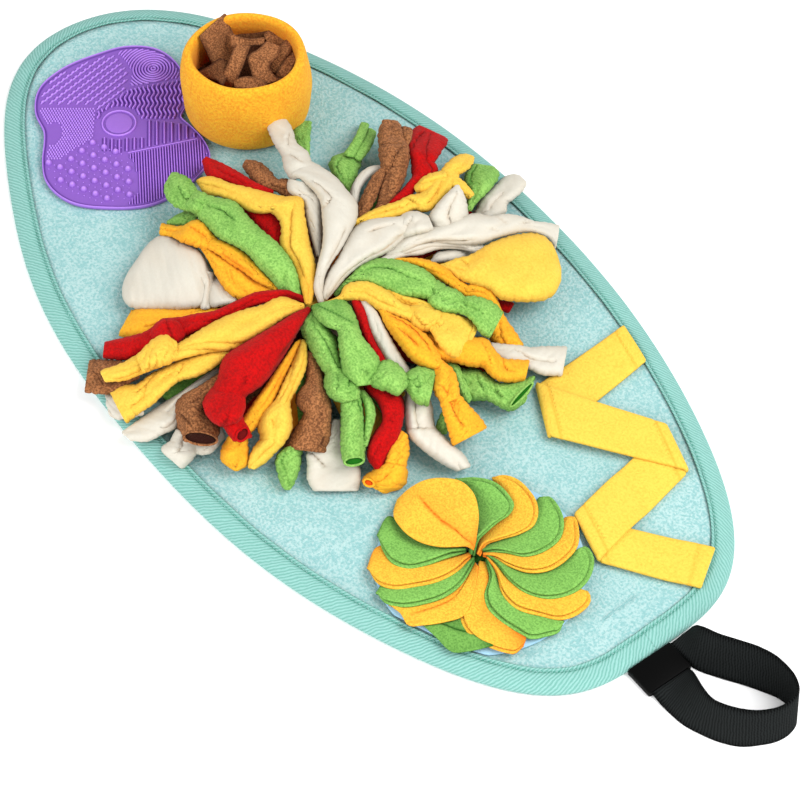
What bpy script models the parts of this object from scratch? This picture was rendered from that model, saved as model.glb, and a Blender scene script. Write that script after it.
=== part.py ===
"""A snuffle mat: an oval fleece mat with a bound edge, which carries a silicone lick pad, a fleece cup
of strips, a pompom of knotted strips, a zigzag ribbon, a pinwheel flower and a strap loop.

The mat lies on z = 0 with its middle at the origin. +X runs along its long axis to the strap. Lengths
are in metres, and angles in the tables are in degrees anticlockwise from +X.
"""

import bmesh
import bpy
import numpy as np

MM = 0.001
GAP = 0.3 * MM  # between pieces that touch

# Mat: an ellipse whose radius is waved a little, as a sewn edge is.
MAT_HALF_LENGTH = 0.3488
MAT_HALF_WIDTH = 0.1793
EDGE_WAVES = (  # waves round the edge, cosine share, sine share
    (2, 0.0155, 0.0),
    (3, -0.0140, 0.003),
    (4, -0.0030, 0.0),
    (5, -0.0094, -0.001),
    (6, -0.0054, 0.0),
    (7, -0.0020, -0.003),
    (8, -0.0050, 0.0),
)
EDGE_POINTS = 96
MAT_TOP = 7.5 * MM
MAT_EDGE = 3.4 * MM  # top of the fleece inside the fold of the tape
TAPE_WIDTH = 16 * MM
TAPE = 1.3 * MM

# Lick pad, round its raised ring.
PAD_CENTRE = (-0.246, -0.025)
PAD_OUTLINE = (  # angle, radius in mm
    (0, 82), (15, 80), (28, 76), (38, 66), (50, 53.5), (61, 46.5), (75, 54), (92, 62),
    (108, 72), (125, 79.5), (140, 79), (160, 73.5), (185, 72), (203, 71), (222, 64.5),
    (242, 56), (255, 58.5), (268, 66), (282, 76), (300, 83), (322, 83), (345, 84.5),
)
PAD_POINTS = 72
PAD_SHEET = 3.0 * MM
PAD_RIM = 5.0 * MM
PAD_RING_RADIUS = 12.5 * MM
PAD_RIBS = (  # count, first across, pitch, far end, its step, near end, its step, half width (mm)
    (4, 10, 5.6, 17, 0, 22, -0.5, 0.7),
    (5, 32, 5.6, 2, 0, 20, -0.5, 0.7),
    (14, 14, 3.6, 27, -0.5, 50, -0.75, 0.6),
)
RIB_HEIGHT = 2.0 * MM
NUB_FIRST = (-44, 24)
NUB_ROWS = 4
NUB_COLUMNS = 6
NUB_PITCH = 9.6
NUB_SLANT = 4.5  # how much of each later row the outline cuts off
NUB_RADIUS = 2.6
NUB_HEIGHT = 2.6 * MM

# Cup and the strips in it. Across runs along the cup's wider side, and front points to +X and -Y.
CUP_CENTRE = (-0.201, 0.060)
CUP_LEAN = (0.004, -0.003)
CUP_HEIGHT = 63 * MM
CUP_SIDES = 40
ACROSS = np.array((0.602, 0.799))
FRONT = np.array((0.799, -0.602))
CUP_FLOOR = 7 * MM
STRIP_THICK = 3 * MM
CUP_STRIPS = (  # name, across, front, heading, width, height, lean across, lean front (mm)
    ("flap", -14, -6, -49, 26, 72, -10, -3),
    ("back", 5, -26, 0, 20, 47, 0, 0),
    ("back_right", 24, -15, 60, 17, 47, 1, 1),
    ("wide", 11, -6, -25, 20, 48, 0, -2),
    ("curl", 4, -19, 0, 18, 44, 0, -1),
    ("slant", -5, 6, 110, 24, 46, -2, 0),
    ("narrow", 23, 6, 115, 18, 47, 2, 0),
    ("side", 26, 16, 120, 12, 43, 0, 0),
    ("front", 3, 25, 0, 19, 44, 0, 1),
    ("wedge", -19, 13, -35, 17, 45, -1, 1),
)

# Pompom: three tiers of strands round a gathered root.
ROOT = (0.0, -0.025)
ROOT_RADIUS = 13 * MM
ROOT_COLUMNS = 36
ROOT_LEVELS = (0.3, 2, 7, 13, 18, 25, 30, 33)  # mm above the mat
MEAN_REACH = 0.160
REACH_SWING = 0.030
REACH_AIM = 120
TIERS = (  # first column, level, share of reach, underside above the mat at the stations (mm), bend
    (0, 1, 0.86, (0.6, 0.5, 0.5, 0.5, 0.5, 0.5), 6),
    (1, 3, 1.00, (17, 18, 15, 14.5, 11, 7), -6),
    (0, 5, 0.93, (32, 36, 34, 32, 26, 20), 4),
)
STATIONS = (0.24, 0.45, 0.60, 0.68, 0.78, 1.0)  # share of the reach: neck, body, knot, knot, tail, end
STRAND_WIDE = (15, 20, 19, 19, 15, 23)
STRAND_HIGH = (5, 5, 11, 11, 5, 5)
ROOM = (  # what stands near: angle from the root, half angle, farthest reach (mm)
    (180, 24, 150),
    (157, 17, 162),
    (40, 26, 146),
    (354, 22, 140),
)

# Zigzag ribbon: the two ends of each end edge and crease, in mm.
RIBBON = 3 * MM
CREASES = (
    ((127, 149), (158, 142)),
    ((131, 69), (169, 49)),
    ((211, 117), (247, 105)),
    ((231, 22), (267, 12)),
    ((306, 77), (323, 51)),
)
CREASE_BULGE = 2.5 * MM

# Flower.
FLOWER_CENTRE = (0.223, -0.052)
FLOWER_RADIUS = 0.070
DISC_POINTS = 48
FELT = 1.5 * MM
PETALS = 15
PETAL_SPAN = 38
PETAL_STEP = 360 / PETALS
PETAL_RISE = 4.6 * MM  # from one petal to the next
PETAL_THICK = 3.2 * MM
PETAL_SWEEP = 26
LEAF_ANGLE = 168
LEAF_SPAN = 56

# Strap loop: the lower and the upper edge of the band at each station, in mm.
BAND = 1.6 * MM
STRAP_EDGES = (
    ((342.3, 12.9, 2.4), (340.8, 37, 3.2)),
    ((351, 13.2, 1.5), (346, 32, 17)),
    ((362, 13.5, 0.5), (355, 24, 27)),
    ((379, 21, 0.5), (367, 29, 28)),
    ((391, 29, 0.5), (378, 36, 28)),
    ((403, 36, 0.5), (390, 43, 28)),
    ((415, 41.5, 0.5), (404, 46.5, 29)),
    ((426, 42, 0.5), (419, 45.5, 29.5)),
    ((434, 37, 0.5), (428.5, 40, 29.5)),
    ((437, 29, 0.5), (431, 32, 29.5)),
    ((436.5, 20, 0.5), (430, 23, 29)),
    ((432, 9, 0.5), (425, 12, 29)),
    ((425, -2, 0.5), (417, 3, 29)),
    ((415, -10, 0.5), (407, -4, 29)),
    ((403, -16, 0.5), (398, -6, 27)),
    ((392, -20, 0.5), (388, -4, 24)),
    ((380, -21.5, 0.6), (377, 1, 17)),
    ((371, -22, 1.4), (369, 6, 8)),
    ((364.5, -22, 2.8), (364.5, 8, 3.1)),
    ((342.3, -22, 2.9), (342.3, 8, 2.9)),
)
KEEPER_LOW = np.array((0.3415, -0.0250, 0.0))
KEEPER_HIGH = np.array((0.3635, 0.0106, 0.0058))
SLOT_LOW = np.array((0.3415, -0.0226, 0.0018))
SLOT_HIGH = np.array((0.3635, 0.0086, 0.0041))

COLOURS = {  # linear colour, roughness
    "aqua_fleece": ((0.50, 0.80, 0.78), 0.95),
    "teal_tape": ((0.26, 0.56, 0.48), 0.85),
    "purple_silicone": ((0.31, 0.14, 0.62), 0.45),
    "orange_fleece": ((0.95, 0.50, 0.06), 0.95),
    "brown_fleece": ((0.30, 0.11, 0.05), 0.95),
    "mixed_fleece": ((0.90, 0.70, 0.20), 0.95),
    "yellow_fleece": ((0.93, 0.72, 0.10), 0.95),
    "blue_felt": ((0.55, 0.80, 0.88), 0.95),
    "orange_felt": ((0.95, 0.50, 0.08), 0.95),
    "green_felt": ((0.30, 0.60, 0.18), 0.95),
    "black_webbing": ((0.012, 0.012, 0.013), 0.80),
    "black_plastic": ((0.010, 0.010, 0.011), 0.40),
}


def material(name):
    """The named Principled material, made on its first use."""
    if name in bpy.data.materials:
        return bpy.data.materials[name]
    made = bpy.data.materials.new(name)
    made.use_nodes = True
    colour, roughness = COLOURS[name]
    shader = made.node_tree.nodes["Principled BSDF"]
    shader.inputs["Base Color"].default_value = (*colour, 1)
    shader.inputs["Roughness"].default_value = roughness
    shader.inputs["Metallic"].default_value = 0
    made.diffuse_color = (*colour, 1)
    return made


def add_object(name, points, faces, finish):
    """A closed mesh with its faces turned outwards."""
    mesh = bpy.data.meshes.new(name)
    mesh.from_pydata([tuple(map(float, p)) for p in points], [], [tuple(map(int, f)) for f in faces])
    shape = bmesh.new()
    shape.from_mesh(mesh)
    bmesh.ops.recalc_face_normals(shape, faces=shape.faces)
    shape.to_mesh(mesh)
    shape.free()
    mesh.materials.append(material(finish))
    made = bpy.data.objects.new(name, mesh)
    bpy.context.scene.collection.objects.link(made)
    return made


def band_faces(rows, columns, round_rows=False, round_columns=True):
    """Quads between neighbouring rows of a grid of points numbered row by row."""
    faces = []
    for row in range(rows if round_rows else rows - 1):
        for column in range(columns if round_columns else columns - 1):
            below, above = row * columns, (row + 1) % rows * columns
            after = (column + 1) % columns
            faces.append((below + column, below + after, above + after, above + column))
    return faces


def stack(name, loops, finish):
    """Loops of equally many points, one on the next, closed by a flat face at each end."""
    columns = len(loops[0])
    faces = band_faces(len(loops), columns)
    last = (len(loops) - 1) * columns
    faces.append(tuple(reversed(range(columns))))
    faces.append(tuple(range(last, last + columns)))
    return add_object(name, np.concatenate(loops), faces, finish)


def slab(name, upper, lower, finish):
    """A sheet between two grids of points of the same shape, closed round its rim."""
    rows, columns = upper.shape[:2]
    count = rows * columns
    top = band_faces(rows, columns, round_columns=False)
    bottom = [tuple(count + i for i in reversed(face)) for face in top]
    index = np.arange(count).reshape(rows, columns)
    rim = np.concatenate((index[0], index[1:, -1], index[-1, -2::-1], index[-2:0:-1, 0]))
    around = np.roll(rim, -1)
    sides = [(a, a + count, b + count, b) for a, b in zip(rim, around)]
    points = np.concatenate((upper.reshape(-1, 3), lower.reshape(-1, 3)))
    return add_object(name, points, top + bottom + sides, finish)


def level(outline, z):
    """A plan outline set at one height."""
    return np.column_stack((outline, np.full(len(outline), z)))


def unit_circle(count):
    turn = 2 * np.pi * np.arange(count) / count
    return np.column_stack((np.cos(turn), np.sin(turn)))


def inset(outline, distance):
    """A closed anticlockwise outline moved inwards along its normals."""
    along = np.roll(outline, -1, axis=0) - np.roll(outline, 1, axis=0)
    along /= np.linalg.norm(along, axis=1, keepdims=True)
    return outline + distance * np.column_stack((-along[:, 1], along[:, 0]))


def mat_outline():
    """An ellipse whose radius carries the small waves of the edge."""
    turn = 2 * np.pi * np.arange(EDGE_POINTS) / EDGE_POINTS
    scale = np.ones(EDGE_POINTS)
    for waves, cosine, sine in EDGE_WAVES:
        scale += cosine * np.cos(waves * turn) + sine * np.sin(waves * turn)
    x = MAT_HALF_LENGTH * np.cos(turn) * scale
    y = MAT_HALF_WIDTH * np.sin(turn) * scale
    return np.column_stack((x, y))


def smooth_radius(table, turn):
    """Radius at each angle in degrees, eased round the circle from an (angle, radius) table."""
    angles, radii = np.array(table, float).T
    knots = np.concatenate((angles[-2:] - 360, angles, angles[:3] + 360))
    values = np.concatenate((radii[-2:], radii, radii[:3]))
    slopes = np.gradient(values, knots)
    at = np.clip(np.searchsorted(knots, turn, side="right") - 1, 0, len(knots) - 2)
    wide = knots[at + 1] - knots[at]
    t = (turn - knots[at]) / wide
    ease_in = (1 + 2 * t) * (1 - t) ** 2 * values[at] + t * (1 - t) ** 2 * wide * slopes[at]
    ease_out = t**2 * (3 - 2 * t) * values[at + 1] + t**2 * (t - 1) * wide * slopes[at + 1]
    return ease_in + ease_out


def mat_panel():
    """The padded fleece: it thins towards its rim, which is stepped up so that the tape lies under it."""
    edge = mat_outline()
    step = TAPE + GAP
    section = (  # how far in from the edge, height
        (TAPE_WIDTH + GAP, 0),
        (TAPE_WIDTH + GAP, step),
        (TAPE + 2 * GAP, step),
        (TAPE + 2 * GAP, MAT_EDGE),
        (TAPE_WIDTH, MAT_TOP),
    )
    stack("mat_panel", [level(inset(edge, distance), z) for distance, z in section], "aqua_fleece")


def binding():
    """Tape folded over the edge: a C section carried round the outline."""
    edge = mat_outline()
    fold = 2.5 * MM
    fall = (MAT_TOP - MAT_EDGE) / (TAPE_WIDTH - TAPE - 2 * GAP)

    def under(distance):
        """Height of the tape's underside on the sloping rim of the fleece."""
        return MAT_EDGE + 1.5 * GAP + fall * (distance - TAPE - 2 * GAP)

    section = (  # how far in from the edge, height
        (TAPE_WIDTH, 0),
        (fold, 0),
        (0.7 * MM, 0.8 * MM),
        (0, 2.4 * MM),
        (0.8 * MM, under(fold) + 0.4 * MM),
        (fold, under(fold) + 1.4 * TAPE),
        (TAPE_WIDTH - MM, under(TAPE_WIDTH - MM) + TAPE),
        (TAPE_WIDTH, under(TAPE_WIDTH) + 0.7 * TAPE),
        (TAPE_WIDTH, under(TAPE_WIDTH)),
        (TAPE + GAP, under(TAPE + GAP)),
        (TAPE + GAP, TAPE),
        (TAPE_WIDTH, TAPE),
    )
    loops = [level(inset(edge, distance), z) for distance, z in section]
    faces = band_faces(len(loops), EDGE_POINTS, round_rows=True)
    add_object("binding", np.concatenate(loops), faces, "teal_tape")


def prism(corners, low, high, top_share):
    """Points and faces of a block or cone over a plan of corners."""
    count = len(corners)
    middle = corners.mean(axis=0)
    points = np.concatenate((level(corners, low), level(middle + top_share * (corners - middle), high)))
    faces = band_faces(2, count)
    faces.append(tuple(reversed(range(count))))
    faces.append(tuple(range(count, 2 * count)))
    return points, faces


def pad_place(across, front):
    """Plan places on the pad, from its ring, in mm along ACROSS and FRONT."""
    return np.array(PAD_CENTRE) + (np.outer(across, ACROSS) + np.outer(front, FRONT)) * MM


def pad_relief(field):
    """The coarse ribs and nubs, rooted in the pad's sheet: a guide of separate closed shapes."""
    root = field - 0.8 * MM
    shapes = []
    for count, first, pitch, far, far_step, near, near_step, half in PAD_RIBS:
        for rib in range(count):
            across = first + pitch * rib + half * np.array((-1, 1, 1, -1))
            front = (far + far_step * rib,) * 2 + (near + near_step * rib,) * 2
            shapes.append(prism(pad_place(across, front), root, field + RIB_HEIGHT, 0.9))
    circle = NUB_RADIUS * unit_circle(5)
    for row in range(NUB_ROWS):
        for column in range(NUB_COLUMNS):
            across = NUB_FIRST[0] + NUB_PITCH * (column + 0.5 * (row % 2))
            front = NUB_FIRST[1] + NUB_PITCH * row
            if across > NUB_FIRST[0] + NUB_SLANT * row:
                corners = pad_place(across + circle[:, 0], front + circle[:, 1])
                shapes.append(prism(corners, root, field + NUB_HEIGHT, 0.35))
    points, faces, start = [], [], 0
    for some_points, some_faces in shapes:
        points.append(some_points)
        faces += [tuple(start + i for i in face) for face in some_faces]
        start += len(some_points)
    guide = add_object("pad_relief", np.concatenate(points), faces, "purple_silicone")
    guide.hide_render = True
    guide.display_type = "WIRE"
    return guide


def lick_pad():
    """One moulding: a sheet with a raised rim, a raised ring round a flat disc, ribs and nubs."""
    angle = 360 * np.arange(PAD_POINTS) / PAD_POINTS
    around = unit_circle(PAD_POINTS)
    centre = np.array(PAD_CENTRE)
    edge = centre + around * smooth_radius(PAD_OUTLINE, angle)[:, None] * MM
    bottom = MAT_TOP + GAP
    field = bottom + PAD_SHEET
    rim = bottom + PAD_RIM
    crest = field + 1.6 * MM
    loops = [
        level(inset(edge, distance), z)
        for distance, z in (
            (1.2 * MM, bottom),
            (0, bottom + 1.2 * MM),
            (0.4 * MM, rim - 1.0 * MM),
            (1.6 * MM, rim),
            (3.0 * MM, rim - 0.2 * MM),
            (4.2 * MM, field),
        )
    ]
    loops += [
        level(centre + (PAD_RING_RADIUS + offset) * around, z)
        for offset, z in (
            (1.4 * MM, field),
            (0.7 * MM, crest),
            (-0.9 * MM, crest),
            (-1.7 * MM, field + 0.7 * MM),
        )
    ]
    pad = stack("lick_pad", loops, "purple_silicone")
    union = pad.modifiers.new("relief", "BOOLEAN")
    union.operation = "UNION"
    union.object = pad_relief(field)


def cup():
    """A wall and floor turned round an axis that leans a little, with a soft rolled rim."""
    bottom = MAT_TOP + GAP
    profile = (  # radius in mm, share of the height
        (38, 0), (42, 0.06), (45.5, 0.35), (46, 0.6), (44.5, 0.88), (42.5, 0.97), (39.8, 1.0),
        (37.2, 0.97), (36.8, 0.88), (38.2, 0.6), (38.4, 0.35), (36, CUP_FLOOR / CUP_HEIGHT),
    )
    around = unit_circle(CUP_SIDES)
    turn = 2 * np.pi * np.arange(CUP_SIDES) / CUP_SIDES
    wobble = 1 + 0.015 * np.cos(2 * turn - 1.8) + 0.008 * np.cos(3 * turn)
    loops = []
    for radius, share in profile:
        middle = np.array(CUP_CENTRE) + share * np.array(CUP_LEAN)
        plan = middle + radius * MM * around * wobble[:, None]
        loops.append(level(plan, bottom + share * CUP_HEIGHT))
    stack("cup", loops, "orange_fleece")


def cup_strips():
    """Short lengths of fleece that stand in the cup, each bowed a little."""
    foot = MAT_TOP + GAP + CUP_FLOOR + GAP
    along, up = np.meshgrid(np.linspace(-0.5, 0.5, 4), np.linspace(0, 1, 5))
    for name, across, front, heading, width, height, lean_across, lean_front in CUP_STRIPS:
        turn = np.radians(heading)
        direction = np.cos(turn) * ACROSS + np.sin(turn) * FRONT
        normal = np.array((-direction[1], direction[0]))
        base = np.array(CUP_CENTRE) + (across * ACROSS + front * FRONT) * MM
        lean = (lean_across * ACROSS + lean_front * FRONT) * MM
        bow = 1.0 * MM * np.sin(np.pi * up)
        plan = (
            base
            + along[..., None] * width * MM * direction
            + up[..., None] * lean
            + bow[..., None] * normal
        )
        z = foot + up * height * MM
        sides = [
            np.dstack((plan + sign * 0.5 * STRIP_THICK * normal, z)) for sign in (1, -1)
        ]
        slab(f"cup_strip_{name}", sides[0], sides[1], "brown_fleece")


def strand_reach(angle, share):
    """How far a strand goes from the root at an angle, kept clear of what stands near."""
    reach = share * (MEAN_REACH + REACH_SWING * np.cos(np.radians(angle - REACH_AIM)))
    for middle, half, farthest in ROOM:
        if abs((angle - middle + 180) % 360 - 180) < half:
            reach = min(reach, farthest * MM)
    return reach


def pompom():
    """A gathered root of three tiers, with a strand drawn out of every second side of each tier."""
    circle = unit_circle(ROOT_COLUMNS)
    root = np.array(ROOT)
    rings = [level(root + ROOT_RADIUS * circle, MAT_TOP + z * MM) for z in ROOT_LEVELS]
    points = list(np.concatenate(rings))
    faces = []
    strands = {}
    for first, floor, share, heights, bend in TIERS:
        for column in range(first, ROOT_COLUMNS, 2):
            strands[floor, column] = (share, heights, bend)
    for floor in range(len(ROOT_LEVELS) - 1):
        for column in range(ROOT_COLUMNS):
            after = (column + 1) % ROOT_COLUMNS
            ring, next_ring = floor * ROOT_COLUMNS, (floor + 1) * ROOT_COLUMNS
            corners = (ring + column, ring + after, next_ring + after, next_ring + column)
            if (floor, column) not in strands:
                faces.append(corners)
                continue
            share, heights, bend = strands[floor, column]
            angle = 360 * (column + 0.5) / ROOT_COLUMNS
            reach = strand_reach(angle + bend, share)
            for place, wide, thick, under in zip(STATIONS, STRAND_WIDE, STRAND_HIGH, heights):
                turn = np.radians(angle + bend * place**2)
                out = np.array((np.cos(turn), np.sin(turn)))
                side = np.array((-out[1], out[0])) * 0.5 * wide * MM
                middle = root + place * reach * out
                start = len(points)
                low, high = MAT_TOP + under * MM, MAT_TOP + (under + thick) * MM
                points.extend(level(np.array((middle - side, middle + side)), low))
                points.extend(level(np.array((middle + side, middle - side)), high))
                section = tuple(range(start, start + 4))
                faces.extend(
                    (corners[i], corners[(i + 1) % 4], section[(i + 1) % 4], section[i])
                    for i in range(4)
                )
                corners = section
            faces.append(corners)
    last = (len(ROOT_LEVELS) - 1) * ROOT_COLUMNS
    faces.append(tuple(reversed(range(ROOT_COLUMNS))))
    faces.append(tuple(range(last, last + ROOT_COLUMNS)))
    add_object("pompom", points, faces, "mixed_fleece")


def zigzag_ribbon():
    """One ribbon that turns over at each crease: its legs lie at two levels, its two ends rise on to the
    tape, and the outer face bulges at a crease."""
    low = MAT_TOP + GAP
    high = low + RIBBON + GAP
    on_tape = low + 1.6 * MM
    legs = (  # underside at shares of the leg: start, before and after a step, end
        ((0, on_tape), (0.10, low), (1, low)),
        ((0, high), (1, high)),
        ((0, low), (0.48, low), (0.60, high), (1, high)),
        ((0, low), (0.84, low), (1, on_tape)),
    )
    edges = np.array(CREASES, float) * MM
    sections = []
    for number, leg in enumerate(legs):
        start, end = edges[number], edges[number + 1]
        for share, under in leg:
            a, b = start + share * (end - start)
            heights = (under, under + RIBBON)
            first, second = heights if number % 2 else heights[::-1]
            sections.append(((*a, first), (*b, first), (*b, second), (*a, second)))
        if number == len(legs) - 1:
            break
        outwards = end.mean(axis=0) - start.mean(axis=0)
        outwards = CREASE_BULGE * outwards / np.linalg.norm(outwards)
        middle = low + RIBBON + 0.5 * GAP
        a, b = end
        inner_first = number < 2
        inside = ((*a, middle), (*b, middle))
        outside = ((*(b + outwards), middle), (*(a + outwards), middle))
        if inner_first:
            sections.append((*inside, *outside))
        else:
            sections.append((*outside[::-1], *inside[::-1]))
    stack("zigzag_ribbon", [np.array(section) for section in sections], "yellow_fleece")


def petal_grid(first, span, radius, sweep, rise):
    """Plan points and heights of a petal: rows go out from the middle, columns turn from high to low."""
    out, across = np.meshgrid(np.linspace(0, 1, 8), np.linspace(0, 1, 5), indexing="ij")
    distance = 6 * MM + (radius - 6 * MM) * out
    narrow = np.sqrt(np.clip(1 - 0.86 * out**5, 0, 1))
    turn = np.radians(first + sweep * out**2 + span * (0.5 + narrow * (across - 0.5)))
    plan = np.stack((distance * np.cos(turn), distance * np.sin(turn)), axis=-1)
    swept = (turn - np.radians(first + sweep * out**2)) / np.radians(span)
    return plan + np.array(FLOWER_CENTRE), rise * (1 - swept)


def flower():
    """A felt disc cut back where the tape runs, petals that overlap like the blades of a fan, and one
    opened petal on top."""
    bottom = MAT_TOP + GAP
    tape_edge = inset(mat_outline(), TAPE_WIDTH) - FLOWER_CENTRE
    bearing = np.degrees(np.arctan2(tape_edge[:, 1], tape_edge[:, 0]))
    room = np.interp(
        360 * np.arange(DISC_POINTS) / DISC_POINTS, bearing, np.hypot(*tape_edge.T), period=360)
    radius = np.minimum(FLOWER_RADIUS, room - 1 * MM)
    around = np.array(FLOWER_CENTRE) + radius[:, None] * unit_circle(DISC_POINTS)
    stack("flower_base", (level(around, bottom), level(around, bottom + FELT)), "blue_felt")
    seat = bottom + FELT + GAP
    for number in range(PETALS):
        first = number * PETAL_STEP
        plan, height = petal_grid(
            first, PETAL_SPAN, FLOWER_RADIUS - 2 * MM, PETAL_SWEEP,
            PETAL_RISE * PETAL_SPAN / PETAL_STEP)
        lower = np.dstack((plan, seat + height))
        upper = lower + (0, 0, PETAL_THICK)
        finish = "green_felt" if number % 2 else "orange_felt"
        slab(f"petal_{number + 1:02d}", upper, lower, finish)
    top = seat + PETAL_RISE * PETAL_SPAN / PETAL_STEP + PETAL_THICK + 2 * GAP
    plan, height = petal_grid(LEAF_ANGLE, LEAF_SPAN, FLOWER_RADIUS, 0, 2 * MM)
    lower = np.dstack((plan, top + height))
    slab("petal_leaf", lower + (0, 0, PETAL_THICK), lower, "orange_felt")


def strap():
    """A flat band through its lower and upper edges, as thick as the webbing."""
    edges = np.array(STRAP_EDGES, float) * MM
    low, high = edges[:, 0], edges[:, 1]
    middle = 0.5 * (low + high)
    along = np.gradient(middle, axis=0)
    normal = np.cross(along, high - low)
    normal *= 0.5 * BAND / np.linalg.norm(normal, axis=1, keepdims=True)
    loops = np.stack((low - normal, low + normal, high + normal, high - normal), axis=1)
    loops[..., 2] = np.maximum(loops[..., 2], 0)
    stack("strap", list(loops), "black_webbing")


def keeper():
    """A flat slider with a slot from end to end, through which the strap runs."""
    loops = []
    chamfer = 1.2 * MM
    for low, high, cut in ((KEEPER_LOW, KEEPER_HIGH, chamfer), (SLOT_LOW, SLOT_HIGH, 0.4 * MM)):
        section = [
            (low[1] + cut, low[2]), (high[1] - cut, low[2]), (high[1], low[2] + cut),
            (high[1], high[2] - cut), (high[1] - cut, high[2]), (low[1] + cut, high[2]),
            (low[1], high[2] - cut), (low[1], low[2] + cut),
        ]
        pair = [np.array([(x, y, z) for y, z in section]) for x in (low[0], high[0])]
        loops += pair if cut == chamfer else pair[::-1]
    faces = band_faces(len(loops), len(loops[0]), round_rows=True)
    add_object("keeper", np.concatenate(loops), faces, "black_plastic")


def main():
    for item in list(bpy.data.objects):
        bpy.data.objects.remove(item, do_unlink=True)
    for make in (mat_panel, binding, lick_pad, cup, cup_strips, pompom, zigzag_ribbon, flower, strap, keeper):
        make()


main()
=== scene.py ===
"""The looks of a snuffle mat: a bound fleece mat with a lick pad, a cup of strips, a pompom of knotted
strips, a zigzag ribbon, a pinwheel flower and a strap loop. Lengths are in metres unless a name says mm.
"""

import math

import bmesh
import bpy
import numpy as np
from bpy.props import FloatProperty, FloatVectorProperty, PointerProperty
from mathutils import Matrix, Vector


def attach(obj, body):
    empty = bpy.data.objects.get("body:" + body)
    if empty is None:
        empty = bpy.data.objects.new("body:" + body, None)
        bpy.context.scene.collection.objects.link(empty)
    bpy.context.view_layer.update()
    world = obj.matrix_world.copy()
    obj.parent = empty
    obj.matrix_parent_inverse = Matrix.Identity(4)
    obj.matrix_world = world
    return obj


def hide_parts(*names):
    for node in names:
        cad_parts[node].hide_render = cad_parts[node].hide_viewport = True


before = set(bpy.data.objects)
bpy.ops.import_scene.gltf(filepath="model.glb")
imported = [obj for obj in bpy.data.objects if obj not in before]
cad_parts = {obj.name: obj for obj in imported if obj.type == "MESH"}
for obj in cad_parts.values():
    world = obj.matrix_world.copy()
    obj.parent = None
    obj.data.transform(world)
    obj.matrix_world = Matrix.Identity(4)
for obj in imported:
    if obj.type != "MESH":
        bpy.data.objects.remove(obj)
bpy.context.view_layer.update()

bl_info = {
    "name": "Snuffle mat",
    "version": (1, 0, 0),
    "blender": (4, 5, 0),
    "location": "3D View > Sidebar > Snuffle mat",
    "description": "Builds the cloth, silicone and webbing of a snuffle mat over its solids",
    "category": "Add Mesh",
}

MM = 0.001
BODY = "root"

# Camera. A frame place is a point across and down its 800 by 800 frame.
FRAME_SIDE = 800
LENS_ANGLE = 16.0
CAMERA_RISE = 53.0
CAMERA_TURN = 53.0
CAMERA_DISTANCE = 1.962
AIM = np.array((0.0773, -0.0086, 0.0))
BACK = np.array((
    math.sin(math.radians(CAMERA_TURN)) * math.cos(math.radians(CAMERA_RISE)),
    -math.cos(math.radians(CAMERA_TURN)) * math.cos(math.radians(CAMERA_RISE)),
    math.sin(math.radians(CAMERA_RISE)),
))
RIGHT = np.array((math.cos(math.radians(CAMERA_TURN)), math.sin(math.radians(CAMERA_TURN)), 0.0))
UP = np.cross(BACK, RIGHT)

# Mat, as its solid is.
MAT_HALF_LENGTH = 0.3488
MAT_HALF_WIDTH = 0.1793
EDGE_WAVES = (  # waves round the edge, cosine share, sine share
    (2, 0.0155, 0.0), (3, -0.0140, 0.003), (4, -0.0030, 0.0), (5, -0.0094, -0.001),
    (6, -0.0054, 0.0), (7, -0.0020, -0.003), (8, -0.0050, 0.0),
)
MAT_TOP = 7.5 * MM
TAPE_WIDTH = 16 * MM
GAP = 0.3 * MM
SEAT = MAT_TOP + GAP
SIDE_SEAM = ((0.303, -0.015), (0.302, 0.017))

# Lick pad, in mm across and in front of its ring.
PAD_CENTRE = np.array((-0.246, -0.025))
PAD_OUTLINE = (  # angle in degrees, radius in mm
    (0, 82), (15, 80), (28, 76), (38, 66), (50, 53.5), (61, 46.5), (75, 54), (92, 62),
    (108, 72), (125, 79.5), (140, 79), (160, 73.5), (185, 72), (203, 71), (222, 64.5),
    (242, 56), (255, 58.5), (268, 66), (282, 76), (300, 83), (322, 83), (345, 84.5),
)
ACROSS = RIGHT[:2]
FRONT = np.array((RIGHT[1], -RIGHT[0]))
PAD_FIELD = SEAT + 2.2 * MM
PAD_BORDER = ((8, 29.5), (62, 14.5))  # ends of the thin raised line between the comb and the fine ribs

STUDIO = 0.74  # share of the light that a dye sends back, so that the bright studio shows it as named


def linear(colour):
    """A display colour as linear light: each channel to the power 2.2, times the studio's share."""
    return tuple(STUDIO * np.asarray(colour, float) ** 2.2)


def colour(name, use, default):
    """A colour that the sidebar shows, as display values."""
    return FloatVectorProperty(
        name=name, description=use, default=default, size=3, min=0, max=1, subtype="COLOR_GAMMA")


def length(name, use, default):
    return FloatProperty(name=name, description=use, default=default, min=0, unit="LENGTH")


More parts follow.
